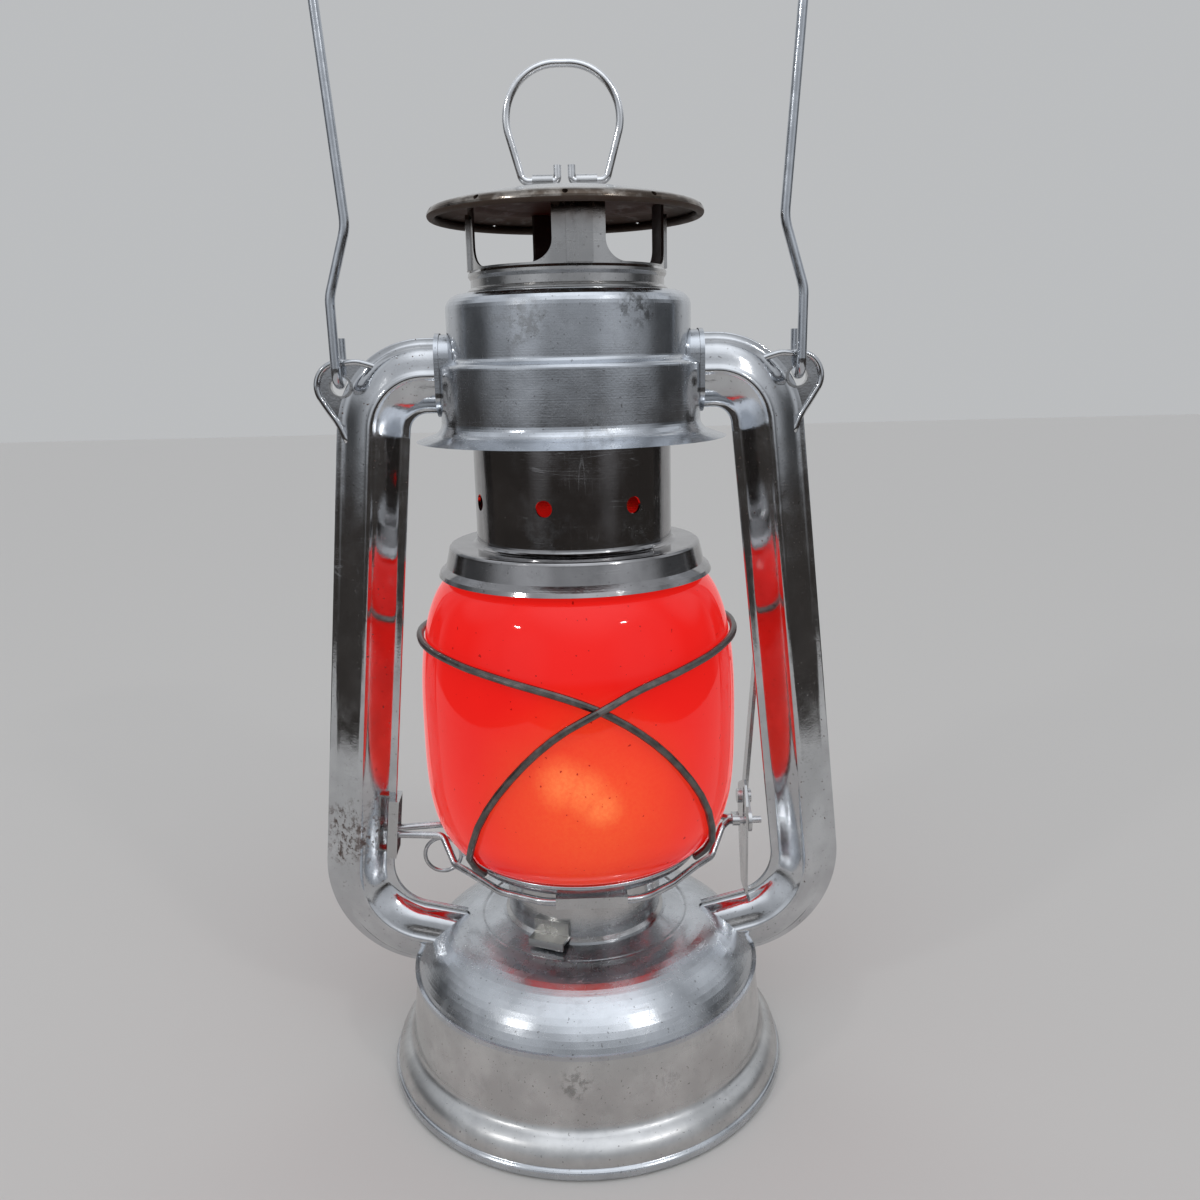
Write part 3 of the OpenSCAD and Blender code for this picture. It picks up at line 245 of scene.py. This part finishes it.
def tube_marks(m, c, r):
    """Rust on the outside of the left tube, specks elsewhere."""
    spot = m.blob((-76, -1, 84), 15, 0.2, 1.8, 240)
    rust = m.math("MULTIPLY", spot, m.range(m.noise(520, 4, 0.7), 0.46, 0.58))
    specks = m.range(m.noise(900, 1, 0.5), 0.735, 0.76)
    rust = m.math("MAXIMUM", rust, m.math("MULTIPLY", specks, m.range(m.noise(30, 1), 0.48, 0.56)))
    c = m.mix(m.math("MULTIPLY", rust, 0.85), c, RUST)
    r = m.math("ADD", r, m.math("MULTIPLY", rust, 0.4))
    return c, r


def heat_marks(m, c, r):
    """Heat has browned the posts close to the cap."""
    heat = m.math("MULTIPLY", m.range(m.axis(2), 0.271, 0.2815),
                  m.range(m.noise(130, 3, 0.6), 0.25, 0.6, 0.5, 1.0))
    return m.mix(heat, c, HEAT_BROWN), r


def rim_marks(m, c, r):
    """The rolled rim is browned by heat, with bare metal on its worn edge."""
    edge = m.range(m.radius(), 0.0374, 0.0388)
    worn = m.range(m.noise(170, 4, 0.6), 0.42, 0.66)
    c = m.mix(edge, c, RIM_BROWN)
    c = m.mix(m.math("MULTIPLY", edge, worn), c, RIM_BARE)
    return c, m.math("SUBTRACT", r, m.math("MULTIPLY", edge, 0.08))


def inside(m):
    """1 on faces that look at the axis."""
    return m.range(m.outward(), 0.1, -0.2)


def under(m):
    """1 on faces that look down."""
    return m.range(m.part(m.normal, 2), 0.12, -0.15)


def inside_or_under(m):
    return m.math("MAXIMUM", inside(m), under(m))


def crown_soot(m):
    """Black inside, and brown creeping round the windows' edges."""
    edge = m.math("MULTIPLY", m.range(m.noise(150, 4, 0.65), 0.5, 0.68),
                  m.range(m.axis(2), 0.272, 0.281))
    return m.math("MAXIMUM", inside(m), m.math("MULTIPLY", edge, 0.6))


def wire_mat(name, colour, rough, worn=0.25, speck=0.3):
    """Drawn wire: worn is how much darker its dull stretches are, speck how strong its dark specks."""
    m = Mat(name)
    m.set("Metallic", 1.0)
    f = m.noise(220, 4, 0.6)
    fine = m.noise(2200, 2, 0.6)
    c = m.mix(m.range(f, 0.4, 0.65), tuple(v * (1 - worn) for v in colour), tuple(colour))
    c = m.mix(m.math("MULTIPLY", m.range(fine, 0.64, 0.76), speck), c, tuple(v * 0.35 for v in colour))
    m.set("Base Color", c)
    m.set("Roughness", m.range(f, 0.3, 0.7, rough - 0.06, rough + 0.10))
    m.bump(fine, 0.08, 0.0001)
    m.bump(m.lines(m.scaled((900, 900, 60)), 0.02), 0.1, 0.00008)
    return m.mat


def globe_mat():
    """Opal red glass with a flame behind it: the glow is painted in the glass."""
    m = Mat("red_opal_glass")
    z = m.axis(2)
    cloud = m.noise(26, 3, 0.5)
    grain = m.noise(900, 2, 0.7)
    m.set("Base Color", m.mix(m.range(cloud, 0.35, 0.7), (0.48, 0.005, 0.004), (0.56, 0.007, 0.005)))
    m.set("Roughness", 0.045)
    m.set("IOR", 1.36)
    base = m.mix(m.range(z, 0.085, 0.150), (1.0, 0.042, 0.024), (1.0, 0.020, 0.015))
    base = m.mix(m.range(z, 0.0955, 0.0885), base, (0.80, 0.006, 0.004))
    warm, hot = 0.0, 0.0
    for sign in (-1, 1):  # the front and the back of the globe, in mm
        warm = m.math("MAXIMUM", warm, m.blob((2, sign * 50, 110), 42, 0.02, 0.25, 45))
        for centre, size in (((-5, sign * 50.5, 119.5), 11), ((0.5, sign * 51, 117), 10),
                             ((5.5, sign * 50.5, 112), 8.5)):
            hot = m.math("MAXIMUM", hot, m.blob(centre, size, 0.05, 0.45, 80))
    warm = m.math("MULTIPLY", warm, m.range(grain, 0.3, 0.7, 0.75, 1.0))
    hot = m.math("MULTIPLY", hot, m.range(grain, 0.3, 0.7, 0.7, 1.0))
    base = m.mix(m.math("MULTIPLY", warm, 0.8), base, (1.18, 0.20, 0.045))
    base = m.mix(m.math("MULTIPLY", hot, 0.5), base, (1.6, 0.62, 0.17))
    specks = m.range(m.noise(640, 1, 0.5), 0.755, 0.775)
    m.set("Emission Color", m.mix(m.math("MULTIPLY", specks, 0.8), base, (0.06, 0.0, 0.0)))
    m.set("Emission Strength", 0.53)
    m.bump(m.noise(22, 2, 0.4), 0.22, 0.0008)
    m.bump(m.noise(140, 2, 0.5), 0.05, 0.0003)
    return m.mat


def plain_mat(name, colour, rough, grain, metallic=0.0):
    """A plain stuff with a fine uneven surface; grain is the scale of its noise."""
    m = Mat(name)
    m.set("Metallic", metallic)
    f = m.noise(grain, 4, 0.7)
    m.set("Base Color", m.mix(m.range(f, 0.35, 0.7), tuple(v * 0.7 for v in colour), tuple(colour)))
    m.set("Roughness", m.range(f, 0.3, 0.7, rough - 0.05, rough + 0.05))
    m.bump(f, 0.4, 0.0003)
    return m.mat


SATIN = tin("tin_satin_sheet", (0.62, 0.64, 0.665), rough=0.24, vary=0.05, grain=0.35, scratch=0.6, dents=0.2)
HOOD = tin("tin_hood", (0.64, 0.665, 0.70), rough=0.17, vary=0.04, grain=0.35, scratch=0.45, dents=0.2,
           soot=inside,
           stains=[((19, -31, 253), 8, (0.10, 0.10, 0.10), 0.8), ((-12, -35, 249), 9, (0.3, 0.3, 0.3), 0.5),
                   ((-35, -15, 228), 7, (0.2, 0.2, 0.2), 0.6), ((6, -38, 222), 11, (0.3, 0.3, 0.3), 0.5)])
COLLAR = tin("tin_collar", (0.42, 0.41, 0.41), rough=0.10, vary=0.03, grain=0.3, scratch=0.45, dents=0.22,
             stains=[((-8, -30, 190), 10, (0.12, 0.12, 0.12), 0.5),
                     ((20, -24, 190), 9, (0.3, 0.3, 0.3), 0.6)])
SKIRT = tin("tin_mirror_band", (0.66, 0.655, 0.645), rough=0.12, vary=0.03, grain=0.3, scratch=0.6,
            dents=0.10, marks=skirt_marks,
            stains=[((-4, -60, 27), 6, (0.20, 0.195, 0.18), 0.6), ((24, -55, 24), 7, (0.3, 0.3, 0.3), 0.3)])
TUBE = tin("tin_bright_tube", (0.66, 0.67, 0.685), rough=0.10, vary=0.035, grain=0.3, scratch=0.35,
           dents=0.25, marks=tube_marks, turned=False)
SMALL = tin("tin_small_parts", (0.64, 0.64, 0.64), rough=0.22, vary=0.06, grain=0.35, scratch=0.5, dents=0.2,
            turned=False)
DRUM_WALL = tin("tin_drum", (0.60, 0.595, 0.59), rough=0.20, vary=0.05, grain=0.35, scratch=0.5, dents=0.2)
CATCH = tin("tin_catch", (0.44, 0.435, 0.42), rough=0.30, vary=0.05, grain=0.1, scratch=0.2, dents=0.05,
            turned=False)
CONE = tin("tin_burner", (0.16, 0.145, 0.13), rough=0.20, vary=0.08, grain=0.4, scratch=0.6, dents=0.25)
CROWN = tin("tin_crown", (0.58, 0.57, 0.56), rough=0.17, vary=0.06, grain=0.4, scratch=0.6, dents=0.3,
            soot=crown_soot, marks=heat_marks)
CAP = tin("tin_sooted_cap", (0.64, 0.64, 0.635), rough=0.24, vary=0.06, grain=0.4, scratch=0.4, dents=0.25,
          marks=rim_marks, soot=inside_or_under, tone=SOOT_BROWN)
FLUE = tin("tin_sooted_flue", (0.16, 0.13, 0.11), rough=0.5, vary=0.1, grain=0.5, scratch=0.4, dents=0.2,
           soot=inside)
BRIGHT_WIRE = wire_mat("wire_tinned", (0.62, 0.62, 0.63), 0.22)
BAIL = wire_mat("wire_bail", (0.62, 0.645, 0.68), 0.17, worn=0.12, speck=0.10)
RING = wire_mat("wire_ring", (0.86, 0.865, 0.875), 0.18, worn=0.10, speck=0.08)
DARK_WIRE = wire_mat("wire_darkened", (0.20, 0.185, 0.175), 0.34, worn=0.35)
GLOBE = globe_mat()
BRASS = plain_mat("wheel_brass", (0.5, 0.36, 0.14), 0.4, 900, metallic=1.0)
WICK = plain_mat("wick_cotton", (0.7, 0.64, 0.5), 0.9, 1800)
RUBBER = plain_mat("gasket_rubber", (0.04, 0.03, 0.025), 0.6, 1500)

FINISH = (
    (SATIN, "base_plate tank_top burner_collar burner_base wick_tube globe_plate"),
    (SKIRT, "base_skirt"),
    (SMALL, "filler_neck ear_eyelets guide_bracket lever_bracket lever_rivet "
            "carrier_clips carrier_splice ring_clips lift_lever filler_cap"),
    (DRUM_WALL, "burner_drum"),
    (CATCH, "burner_catch"),
    (CONE, "burner_cone"),
    (TUBE, "left_tube_front left_tube_back right_tube_front right_tube_back"),
    (HOOD, "hood"),
    (DARK_WIRE, "chimney_spring guard_wire_left guard_wire_right"),
    (BRIGHT_WIRE, "carrier_wire_front carrier_wire_back wick_spindle"),
    (GLOBE, "globe"),
    (COLLAR, "globe_collar"),
    (FLUE, "flue_tube"),
    (CROWN, "crown"),
    (CAP, "cap"),
    (RING, "cap_ring"),
    (BAIL, "bail"),
    (BRASS, "wick_wheels"),
    (WICK, "wick"),
    (RUBBER, "filler_gasket"),
)
for mat, names in FINISH:
    for name in names.split():
        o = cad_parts[name]
        o.data.materials.clear()
        o.data.materials.append(mat)

# ---------------------------------------------------------------- mesh helpers


def arc(cx, cy, r, start, end, n):
    """n + 1 points round an arc, from one angle to another in degrees."""
    turns = [math.radians(start + (end - start) * i / n) for i in range(n + 1)]
    return [(cx + r * math.cos(a), cy + r * math.sin(a)) for a in turns]


def skin(bm, rings, closed=False):
    """Faces between neighbouring rings of vertices, and from the last back to the first where closed."""
    for a, b in zip(rings, rings[1:] + rings[:1] if closed else rings[1:]):
        for k in range(len(a)):
            j = (k + 1) % len(a)
            bm.faces.new((a[k], a[j], b[j], b[k]))


END_TURNS = (0.5, 1.05, 1.57, 2.09, 2.64)  # angles, in radians, of the points that round a sheet's edge


def sheet(outline, t):
    """A closed loop: the outline, a rounded end, the outline moved by t to its left, and a rounded end."""
    pts = [Vector(p) for p in outline]
    left = []
    for i, p in enumerate(pts):
        a = (p - pts[i - 1]).normalized() if i else (pts[1] - pts[0]).normalized()
        b = (pts[i + 1] - p).normalized() if i < len(pts) - 1 else a
        n = Vector((-a.y, a.x)) + Vector((-b.y, b.x))
        left.append(p + t * n / (1 + a.dot(b)))

    def cap(p, q):
        mid = (p + q) / 2
        out = (q - p).normalized()
        out = Vector((out.y, -out.x)) * (t / 2)
        return [tuple(mid + (p - mid) * math.cos(a) + out * math.sin(a)) for a in END_TURNS]

    return ([tuple(p) for p in pts] + cap(pts[-1], left[-1]) + [tuple(p) for p in reversed(left)]
            + cap(left[0], pts[0]))


def finish_mesh(name, bm, mat, angle, body, replaces=()):
    """Makes the named piece from bm; edges that turn by more than angle, in radians, stay sharp."""
    bmesh.ops.recalc_face_normals(bm, faces=bm.faces)
    for f in bm.faces:
        f.smooth = True
    for e in bm.edges:
        if len(e.link_faces) == 2 and e.calc_face_angle(0) > angle:
            e.smooth = False
    mesh = bpy.data.meshes.new(name)
    bm.to_mesh(mesh)
    bm.free()
    o = bpy.data.objects.new(name, mesh)
    bpy.context.scene.collection.objects.link(o)
    mesh.materials.append(mat)
    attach(o, body)
    if replaces:
        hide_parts(*replaces)


LATHE_STEPS = 288


def lathe(name, loop, mat, body, replaces):
    """Turns a closed loop of (r, z) in mm about the axis."""
    bm = bmesh.new()
    rings = []
    for r, z in loop:
        turns = (2 * math.pi * k / LATHE_STEPS for k in range(LATHE_STEPS))
        rings.append([bm.verts.new((r * math.cos(a) * MM, r * math.sin(a) * MM, z * MM)) for a in turns])
    skin(bm, rings, closed=True)
    finish_mesh(name, bm, mat, 0.9, body, replaces)


def frames(path):
    """Directions and side vectors along an open path, turned as little as possible."""
    last = len(path) - 1
    dirs = [(path[min(i + 1, last)] - path[max(i - 1, 0)]).normalized() for i in range(last + 1)]
    side = dirs[0].orthogonal()
    sides = []
    for d in dirs:
        side = (side - d * side.dot(d)).normalized()
        sides.append(side.copy())
    return dirs, sides


def sweep_wire(bm, path, r, sides):
    """A round wire along a path of vectors in mm, with rounded ends."""
    ends = ((0.46, 0.4), (0.3, 0.8))  # how far past the path, and how thick, in wire radii
    first, last = (path[0] - path[1]).normalized(), (path[-1] - path[-2]).normalized()
    pts = [path[0] + first * r * far for far, _ in ends] + path
    pts += [path[-1] + last * r * far for far, _ in reversed(ends)]
    radii = [r * thick for _, thick in ends] + [r] * len(path) + [r * thick for _, thick in reversed(ends)]
    dirs, norms = frames(pts)
    rings = []
    for p, d, n, rad in zip(pts, dirs, norms, radii):
        b = d.cross(n)
        rings.append([bm.verts.new((p + (n * math.cos(a) + b * math.sin(a)) * rad) * MM)
                      for a in (2 * math.pi * k / sides for k in range(sides))])
    skin(bm, rings)
    bm.faces.new(list(reversed(rings[0])))
    bm.faces.new(rings[-1])


def smooth_path(points, per):
    """A Catmull-Rom curve through points, with per steps from each to the next."""
    p = [Vector(v) for v in points]
    p = [2 * p[0] - p[1]] + p + [2 * p[-1] - p[-2]]
    out = []
    for i in range(1, len(p) - 2):
        a, b, c, d = p[i - 1:i + 3]
        for k in range(per):
            t = k / per
            out.append(0.5 * (2 * b + (c - a) * t + (2 * a - 5 * b + 4 * c - d) * t * t
                              + (3 * b - a - 3 * c + d) * t ** 3))
    out.append(p[-2])
    return out


# ---------------------------------------------------------------- finer turned pieces


# Sizes below are in mm, as in part.scad
SHEET = 0.8
GLASS = 2.4
MOUTH_R, BULGE = 37.5, 13.5  # radius of the globe's two mouths, and how far its belly stands out from them
BELLY_Z, RISE, DROP = 124.0, 48.4, 42.2  # height of the belly, and how far it reaches up and down
RISE_POWER, DROP_POWER = 2.6, 3.4  # how square its shoulders are
LIP = 1.2  # how far the glass stays within the CAD globe at either mouth
GLOBE_STEPS = 60


def globe_radius(z):
    up = z > BELLY_Z
    u = min(abs(z - BELLY_Z) / (RISE if up else DROP), 1)
    return MOUTH_R + BULGE * math.sqrt(max(0.0, 1 - u ** (RISE_POWER if up else DROP_POWER)))


globe_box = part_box("globe")
quarter = [math.pi / 2 * i / GLOBE_STEPS for i in range(GLOBE_STEPS + 1)]
levels = [BELLY_Z - DROP * math.cos(a) for a in quarter[:-1]]
levels += [BELLY_Z + RISE * math.sin(a) for a in quarter]
outline = [(MOUTH_R, globe_box[0][2] / MM + LIP)]
outline += [(globe_radius(z), z) for z in levels]
outline += [(MOUTH_R, globe_box[1][2] / MM - LIP)]
lathe("globe_glass", sheet(outline, GLASS), GLOBE, "globe_carrier", ("globe",))

skirt = [(66.5, 4.0)] + arc(58.5, 4.3, 8, 0, 60, 24)
skirt += arc(64.4, 14.52, 3.8, 240, 180, 14) + [(58.3, 35.9)]
lathe("base_band", sheet(skirt, SHEET), SKIRT, "lantern_frame", ("base_skirt",))

# ---------------------------------------------------------------- side tubes, ears and sockets

# Each tube is two pressed halves with a bead along the ridge, and a fuller section where it enters the hood
# and the tank. A section gives V, half the tube's depth, at each U, the distance from its middle.
TUBE_U = (0, 0.55, 0.95, 1.25, 1.9, 3.2, 4.6, 6.2, 7.6, 8.5, 9.1, 10, 10.95)
RIDGE_V = (7.0, 6.93, 6.70, 6.42, 6.10, 5.30, 4.35, 3.10, 1.95, 1.25, 0.95, 0.8, 0.8)
FULL_V = (7.0, 6.93, 6.62, 6.35, 6.14, 5.87, 5.57, 5.11, 4.17, 3.02, 1.40, 0.8, 0.8)


def blend(a, b, t):
    """Section a at t = 0 and b at t = 1, easing in and out."""
    t = max(0.0, min(1.0, t))
    t = t * t * (3 - 2 * t)
    return [p + (q - p) * t for p, q in zip(a, b)]


SOCKET_Z = 234.0  # height at which a tube enters the hood
SPLAY = 5.7  # degrees that the straight run leans out
RUN_TOP, RUN_FOOT = (61.316, 218.688), (75.837, 73.211)  # (x, z) of the straight run's ends
RUN_STEPS = 24
TAIL_AT, TAIL_DIR = (56.632, 45.935), (-0.970, -0.242)  # where the tail leaves the lower bend, and which way
TAIL_STOPS = (5, 10, 14)


def bend(cx, cz, r, start, end, steps, section):
    """Stations round a bend, from one angle to another in degrees; section(i) is the section at step i."""
    turns = [math.radians(start + (end - start) * i / steps) for i in range(steps + 1)]
    return [(cx + r * math.cos(a), cz + r * math.sin(a), math.sin(a), -math.cos(a), section(i))
            for i, a in enumerate(turns)]


def tube_path():
    """Stations (x, z, direction x, direction z, section) from the hood round to the tank."""
    out = [(38.6, SOCKET_Z, 1, 0, FULL_V), (41.5, SOCKET_Z, 1, 0, FULL_V)]
    out += bend(44.4, 217, 17, 90, SPLAY, 24, lambda i: blend(FULL_V, RIDGE_V, i / 18))
    a = math.radians(SPLAY)
    for t in (i / RUN_STEPS for i in range(1, RUN_STEPS)):
        x, z = (p + (q - p) * t for p, q in zip(RUN_TOP, RUN_FOOT))
        out.append((x, z, math.sin(a), -math.cos(a), RIDGE_V))
    out += bend(50.463, 70.678, 25.5, SPLAY, -76, 32, lambda i: blend(RIDGE_V, FULL_V, (i - 12) / 18))
    out += [(TAIL_AT[0] + TAIL_DIR[0] * d, TAIL_AT[1] + TAIL_DIR[1] * d, *TAIL_DIR, FULL_V)
            for d in TAIL_STOPS]
    return out


EAR_X, EAR_Z = 70.5, 231.4  # middle of an ear's hole
EAR_HALF = 0.78  # half an ear's thickness

for side, label in ((-1, "left"), (1, "right")):
    bm = bmesh.new()
    for face in (-1, 1):
        rings = []
        for x, z, dx, dz, section in tube_path():
            half = list(zip(TUBE_U, section))
            loop = sheet(list(reversed(half)) + [(-u, v) for u, v in half[1:]], SHEET)
            rings.append([bm.verts.new(Vector((side * (x - dz * u), face * v, z + dx * u)) * MM)
                          for u, v in loop])
        skin(bm, rings)
    finish_mesh("side_tube_" + label, bm, TUBE, 0.75, "lantern_frame",
                (label + "_tube_front", label + "_tube_back"))

    bm = bmesh.new()
    rim = [(57.6, 236.3), (60.6, 237.75), (64.5, 238.6)] + arc(EAR_X, EAR_Z, 7.85, 104, -36, 28)
    rim += [(74.3, 222.9), (71.5, 218.9), (69.2, 214.2), (64.5, 214.0), (63.0, 222.0), (58.5, 229.0)]
    hole = arc(EAR_X, EAR_Z, 3.3, 0, 345, 23)
    edges = []
    for line in (rim, hole):
        vs = [bm.verts.new(Vector((side * x, -EAR_HALF, z)) * MM) for x, z in line]
        edges += [bm.edges.new((vs[k], vs[(k + 1) % len(vs)])) for k in range(len(vs))]
    bmesh.ops.triangle_fill(bm, use_beauty=True, edges=edges)
    grown = bmesh.ops.extrude_face_region(bm, geom=list(bm.faces))["geom"]
    bmesh.ops.translate(bm, verts=[v for v in grown if isinstance(v, bmesh.types.BMVert)],
                        vec=(0, 2 * EAR_HALF * MM, 0))
    finish_mesh("ear_plate_" + label, bm, TUBE, 0.6, "lantern_frame")

# The folded seat that closes each socket of the hood round the end of its tube
SEAT_STEPS = 96
SEAT_OVERLAP = 0.3  # how far the seat reaches into the tube's wall
SEAT_PROFILE = (  # (share of the way from the tube to the socket, x)
    (1.0, 40.72), (0.93, 40.74), (0.82, 40.45), (0.6, 40.15), (0.35, 40.1), (0.15, 40.35), (0.0, 40.9),
    (0.0, 39.7), (0.3, 39.5), (0.7, 39.5), (1.0, 39.8))
SOCKET_HALF_W, SOCKET_HALF_D, SOCKET_CORNER = 11.36, 7.01, 6.2
TINY = 1e-6


def section_radius(turn):
    """How far the tube's full section reaches from its middle, in a direction turned from its width."""
    turn = abs(math.atan2(math.sin(turn), math.cos(turn)))
    turn = min(turn, math.pi - turn)
    line = [(math.atan2(v, u), math.hypot(u, v)) for u, v in zip(TUBE_U, FULL_V)][::-1]
    line = [(0.0, TUBE_U[-1])] + line
    for (a, p), (b, q) in zip(line, line[1:]):
        if turn <= b:
            return p + (q - p) * (turn - a) / max(b - a, TINY)
    return line[-1][1]


def socket_radius(turn):
    """How far the socket's opening, a rounded oblong, reaches from its middle."""
    flat_w, flat_d = SOCKET_HALF_W - SOCKET_CORNER, SOCKET_HALF_D - SOCKET_CORNER
    c, s = abs(math.cos(turn)), abs(math.sin(turn))
    if c > TINY and SOCKET_HALF_W / c * s <= flat_d:
        return SOCKET_HALF_W / c
    if s > TINY and SOCKET_HALF_D / s * c <= flat_w:
        return SOCKET_HALF_D / s
    k = c * flat_w + s * flat_d
    return k + math.sqrt(k * k - flat_w * flat_w - flat_d * flat_d + SOCKET_CORNER * SOCKET_CORNER)


for side, label in ((-1, "left"), (1, "right")):
    bm = bmesh.new()
    rings = []
    for turn in (2 * math.pi * i / SEAT_STEPS for i in range(SEAT_STEPS)):
        near, far = section_radius(turn) - SEAT_OVERLAP, socket_radius(turn)
        reach = [(near + (far - near) * t, x) for t, x in SEAT_PROFILE]
        rings.append([bm.verts.new(Vector((side * x, r * math.sin(turn), SOCKET_Z + r * math.cos(turn))) * MM)
                      for r, x in reach])
    skin(bm, rings, closed=True)
    finish_mesh("socket_seat_" + label, bm, TUBE, 0.75, "lantern_frame")

# Raised ribs that run from the tube round each ear, pressed in both halves of the tube
RIB_R, RIB_Y = 1.0, 0.9  # radius of a rib, and how far its middle stands from the ear's own

for side, label in ((-1, "left"), (1, "right")):
    bm = bmesh.new()
    for face in (-1, 1):
        rib = [(57.6, 236.2), (61.2, 237.6), (65.2, 238.6)] + arc(EAR_X, EAR_Z, 7.2, 104, -34, 23)
        rib += [(74.2, 223.6), (71.6, 219.4), (69.6, 214.6)]
        path = smooth_path([(side * x, face * RIB_Y, z) for x, z in rib], 4)
        sweep_wire(bm, path, RIB_R, 12)
    finish_mesh("ear_ribs_" + label, bm, TUBE, 0.9, "lantern_frame")

# ---------------------------------------------------------------- stage, light and camera

# The floor is narrow beside the lantern, so that the tubes' outer faces mirror the dark below it. In metres.
FLOOR_OUTLINE = ((-0.34, -0.5), (0.34, -0.5), (0.62, 0.3), (2.6, 3.2), (-2.6, 3.2), (-0.62, 0.3))
FLOOR_Z = -0.0001
floor_mesh = bpy.data.meshes.new("floor")
floor_bm = bmesh.new()
floor_bm.faces.new([floor_bm.verts.new((x, y, FLOOR_Z)) for x, y in FLOOR_OUTLINE])
floor_bm.to_mesh(floor_mesh)
floor_bm.free()
floor = bpy.data.objects.new("floor", floor_mesh)
bpy.context.scene.collection.objects.link(floor)
FLOOR = Mat("pale_floor")
FLOOR.set("Base Color", (0.60, 0.575, 0.545, 1))
FLOOR.set("Roughness", 0.75)
floor_mesh.materials.append(FLOOR.mat)

scene = bpy.context.scene
scene.view_settings.view_transform = "Standard"
world = bpy.data.worlds.new("studio")
scene.world = world
world.use_nodes = True
world.node_tree.nodes.clear()
w = Tree(world.node_tree)

# The camera sees a plain pale wall. All other rays see a soft studio: dark below and in front, pale behind.
SEEN_WALL = (0.50, 0.51, 0.52, 1)
BEHIND, BELOW, BLACK = (0.46, 0.465, 0.47), (0.050, 0.045, 0.042), (0.0, 0.0, 0.0)
GLOW_TINT = (0.94, 0.985, 1.05)
PATCHES = (  # (direction, inner and outer angle in degrees, strength)
    ((0.66, -0.74, 0.16), 4, 22, 0.16), ((-0.62, -0.77, 0.16), 4, 22, 0.18),
    ((0.12, -0.50, 0.86), 10, 44, 0.50), ((-0.80, 0.05, 0.60), 6, 24, 0.35),
    ((0.85, 0.20, 0.45), 6, 22, 0.45))
sky = w.node("ShaderNodeTexCoord").outputs["Generated"]
height = w.part(sky, 2)
depth = w.part(sky, 1)
level = w.range(depth, -0.02, -0.42, 0.08, 0.42)
above = w.range(height, -0.07, 0.01)
climb = w.math("MULTIPLY", w.math("POWER", w.math("MAXIMUM", height, 0.0), 1.6), 0.62)
glow = w.math("MULTIPLY", w.math("ADD", level, climb), above)


def patch(direction, inner, outer, strength):
    """A soft round window of light in the studio's walls."""
    d = Vector(direction).normalized()
    k = w.vector("DOT_PRODUCT", sky, tuple(d))
    return w.range(k, math.cos(math.radians(outer)), math.cos(math.radians(inner)), 0.0, strength)


for direction, inner, outer, strength in PATCHES:
    glow = w.math("ADD", glow, patch(direction, inner, outer, strength))
back = w.range(depth, 0.35, 0.70)
tint = w.mix(back, w.mix(above, BELOW, BLACK), BEHIND)
glow_rgb = w.node("ShaderNodeCombineXYZ")
for i, v in enumerate(GLOW_TINT):
    w.link(w.math("MULTIPLY", glow, v), glow_rgb.inputs[i])
lit = w.node("ShaderNodeBackground")
w.link(w.vector("ADD", tint, glow_rgb.outputs[0], "Vector"), lit.inputs["Color"])
seen = w.node("ShaderNodeBackground")
seen.inputs["Color"].default_value = SEEN_WALL
mixer = w.node("ShaderNodeMixShader")
w.link(w.node("ShaderNodeLightPath").outputs["Is Camera Ray"], mixer.inputs["Fac"])
w.link(lit.outputs[0], mixer.inputs[1])
w.link(seen.outputs[0], mixer.inputs[2])
w.link(mixer.outputs[0], w.node("ShaderNodeOutputWorld").inputs["Surface"])


LAMP_WATTS, LAMP_SIZE, LAMP_AIM = 1.3, (0.11, 0.026), (0, 0, 0.16)
for name, at in (("lamp_left", (-0.956, -0.83, 0.841)), ("lamp_right", (0.765, -0.929, 0.947))):
    lamp = bpy.data.lights.new(name, "AREA")
    lamp.energy = LAMP_WATTS
    lamp.shape = "RECTANGLE"
    lamp.size, lamp.size_y = LAMP_SIZE
    holder = bpy.data.objects.new(name, lamp)
    scene.collection.objects.link(holder)
    holder.location = at
    holder.rotation_euler = (Vector(LAMP_AIM) - Vector(at)).to_track_quat("-Z", "Y").to_euler()

# The camera was fitted to the photo
CAMERA_AT = (0.0, -333.18, 239.31)
YAW, PITCH, ROLL = math.radians(1.3188), math.radians(13.1034), math.radians(-1.28606)
FOCAL_PX, PHOTO_PX, SENSOR_MM = 1055.47, 1200.0, 36.0
fw = Vector((math.sin(YAW) * math.cos(PITCH), math.cos(YAW) * math.cos(PITCH), -math.sin(PITCH)))
right = Vector((math.cos(YAW), -math.sin(YAW), 0))
up = right.cross(fw)
r2 = right * math.cos(ROLL) + up * math.sin(ROLL)
u2 = -right * math.sin(ROLL) + up * math.cos(ROLL)
cam_data = bpy.data.cameras.new("camera")
cam = bpy.data.objects.new("camera", cam_data)
scene.collection.objects.link(cam)
cam_data.sensor_fit = "HORIZONTAL"
cam_data.sensor_width = SENSOR_MM
cam_data.lens = SENSOR_MM * FOCAL_PX / PHOTO_PX
cam_data.clip_start = 0.01
cam_data.clip_end = 60
m = Matrix((r2, u2, -fw)).transposed().to_4x4()
m.translation = Vector(CAMERA_AT) * MM
cam.matrix_world = m
scene.camera = cam
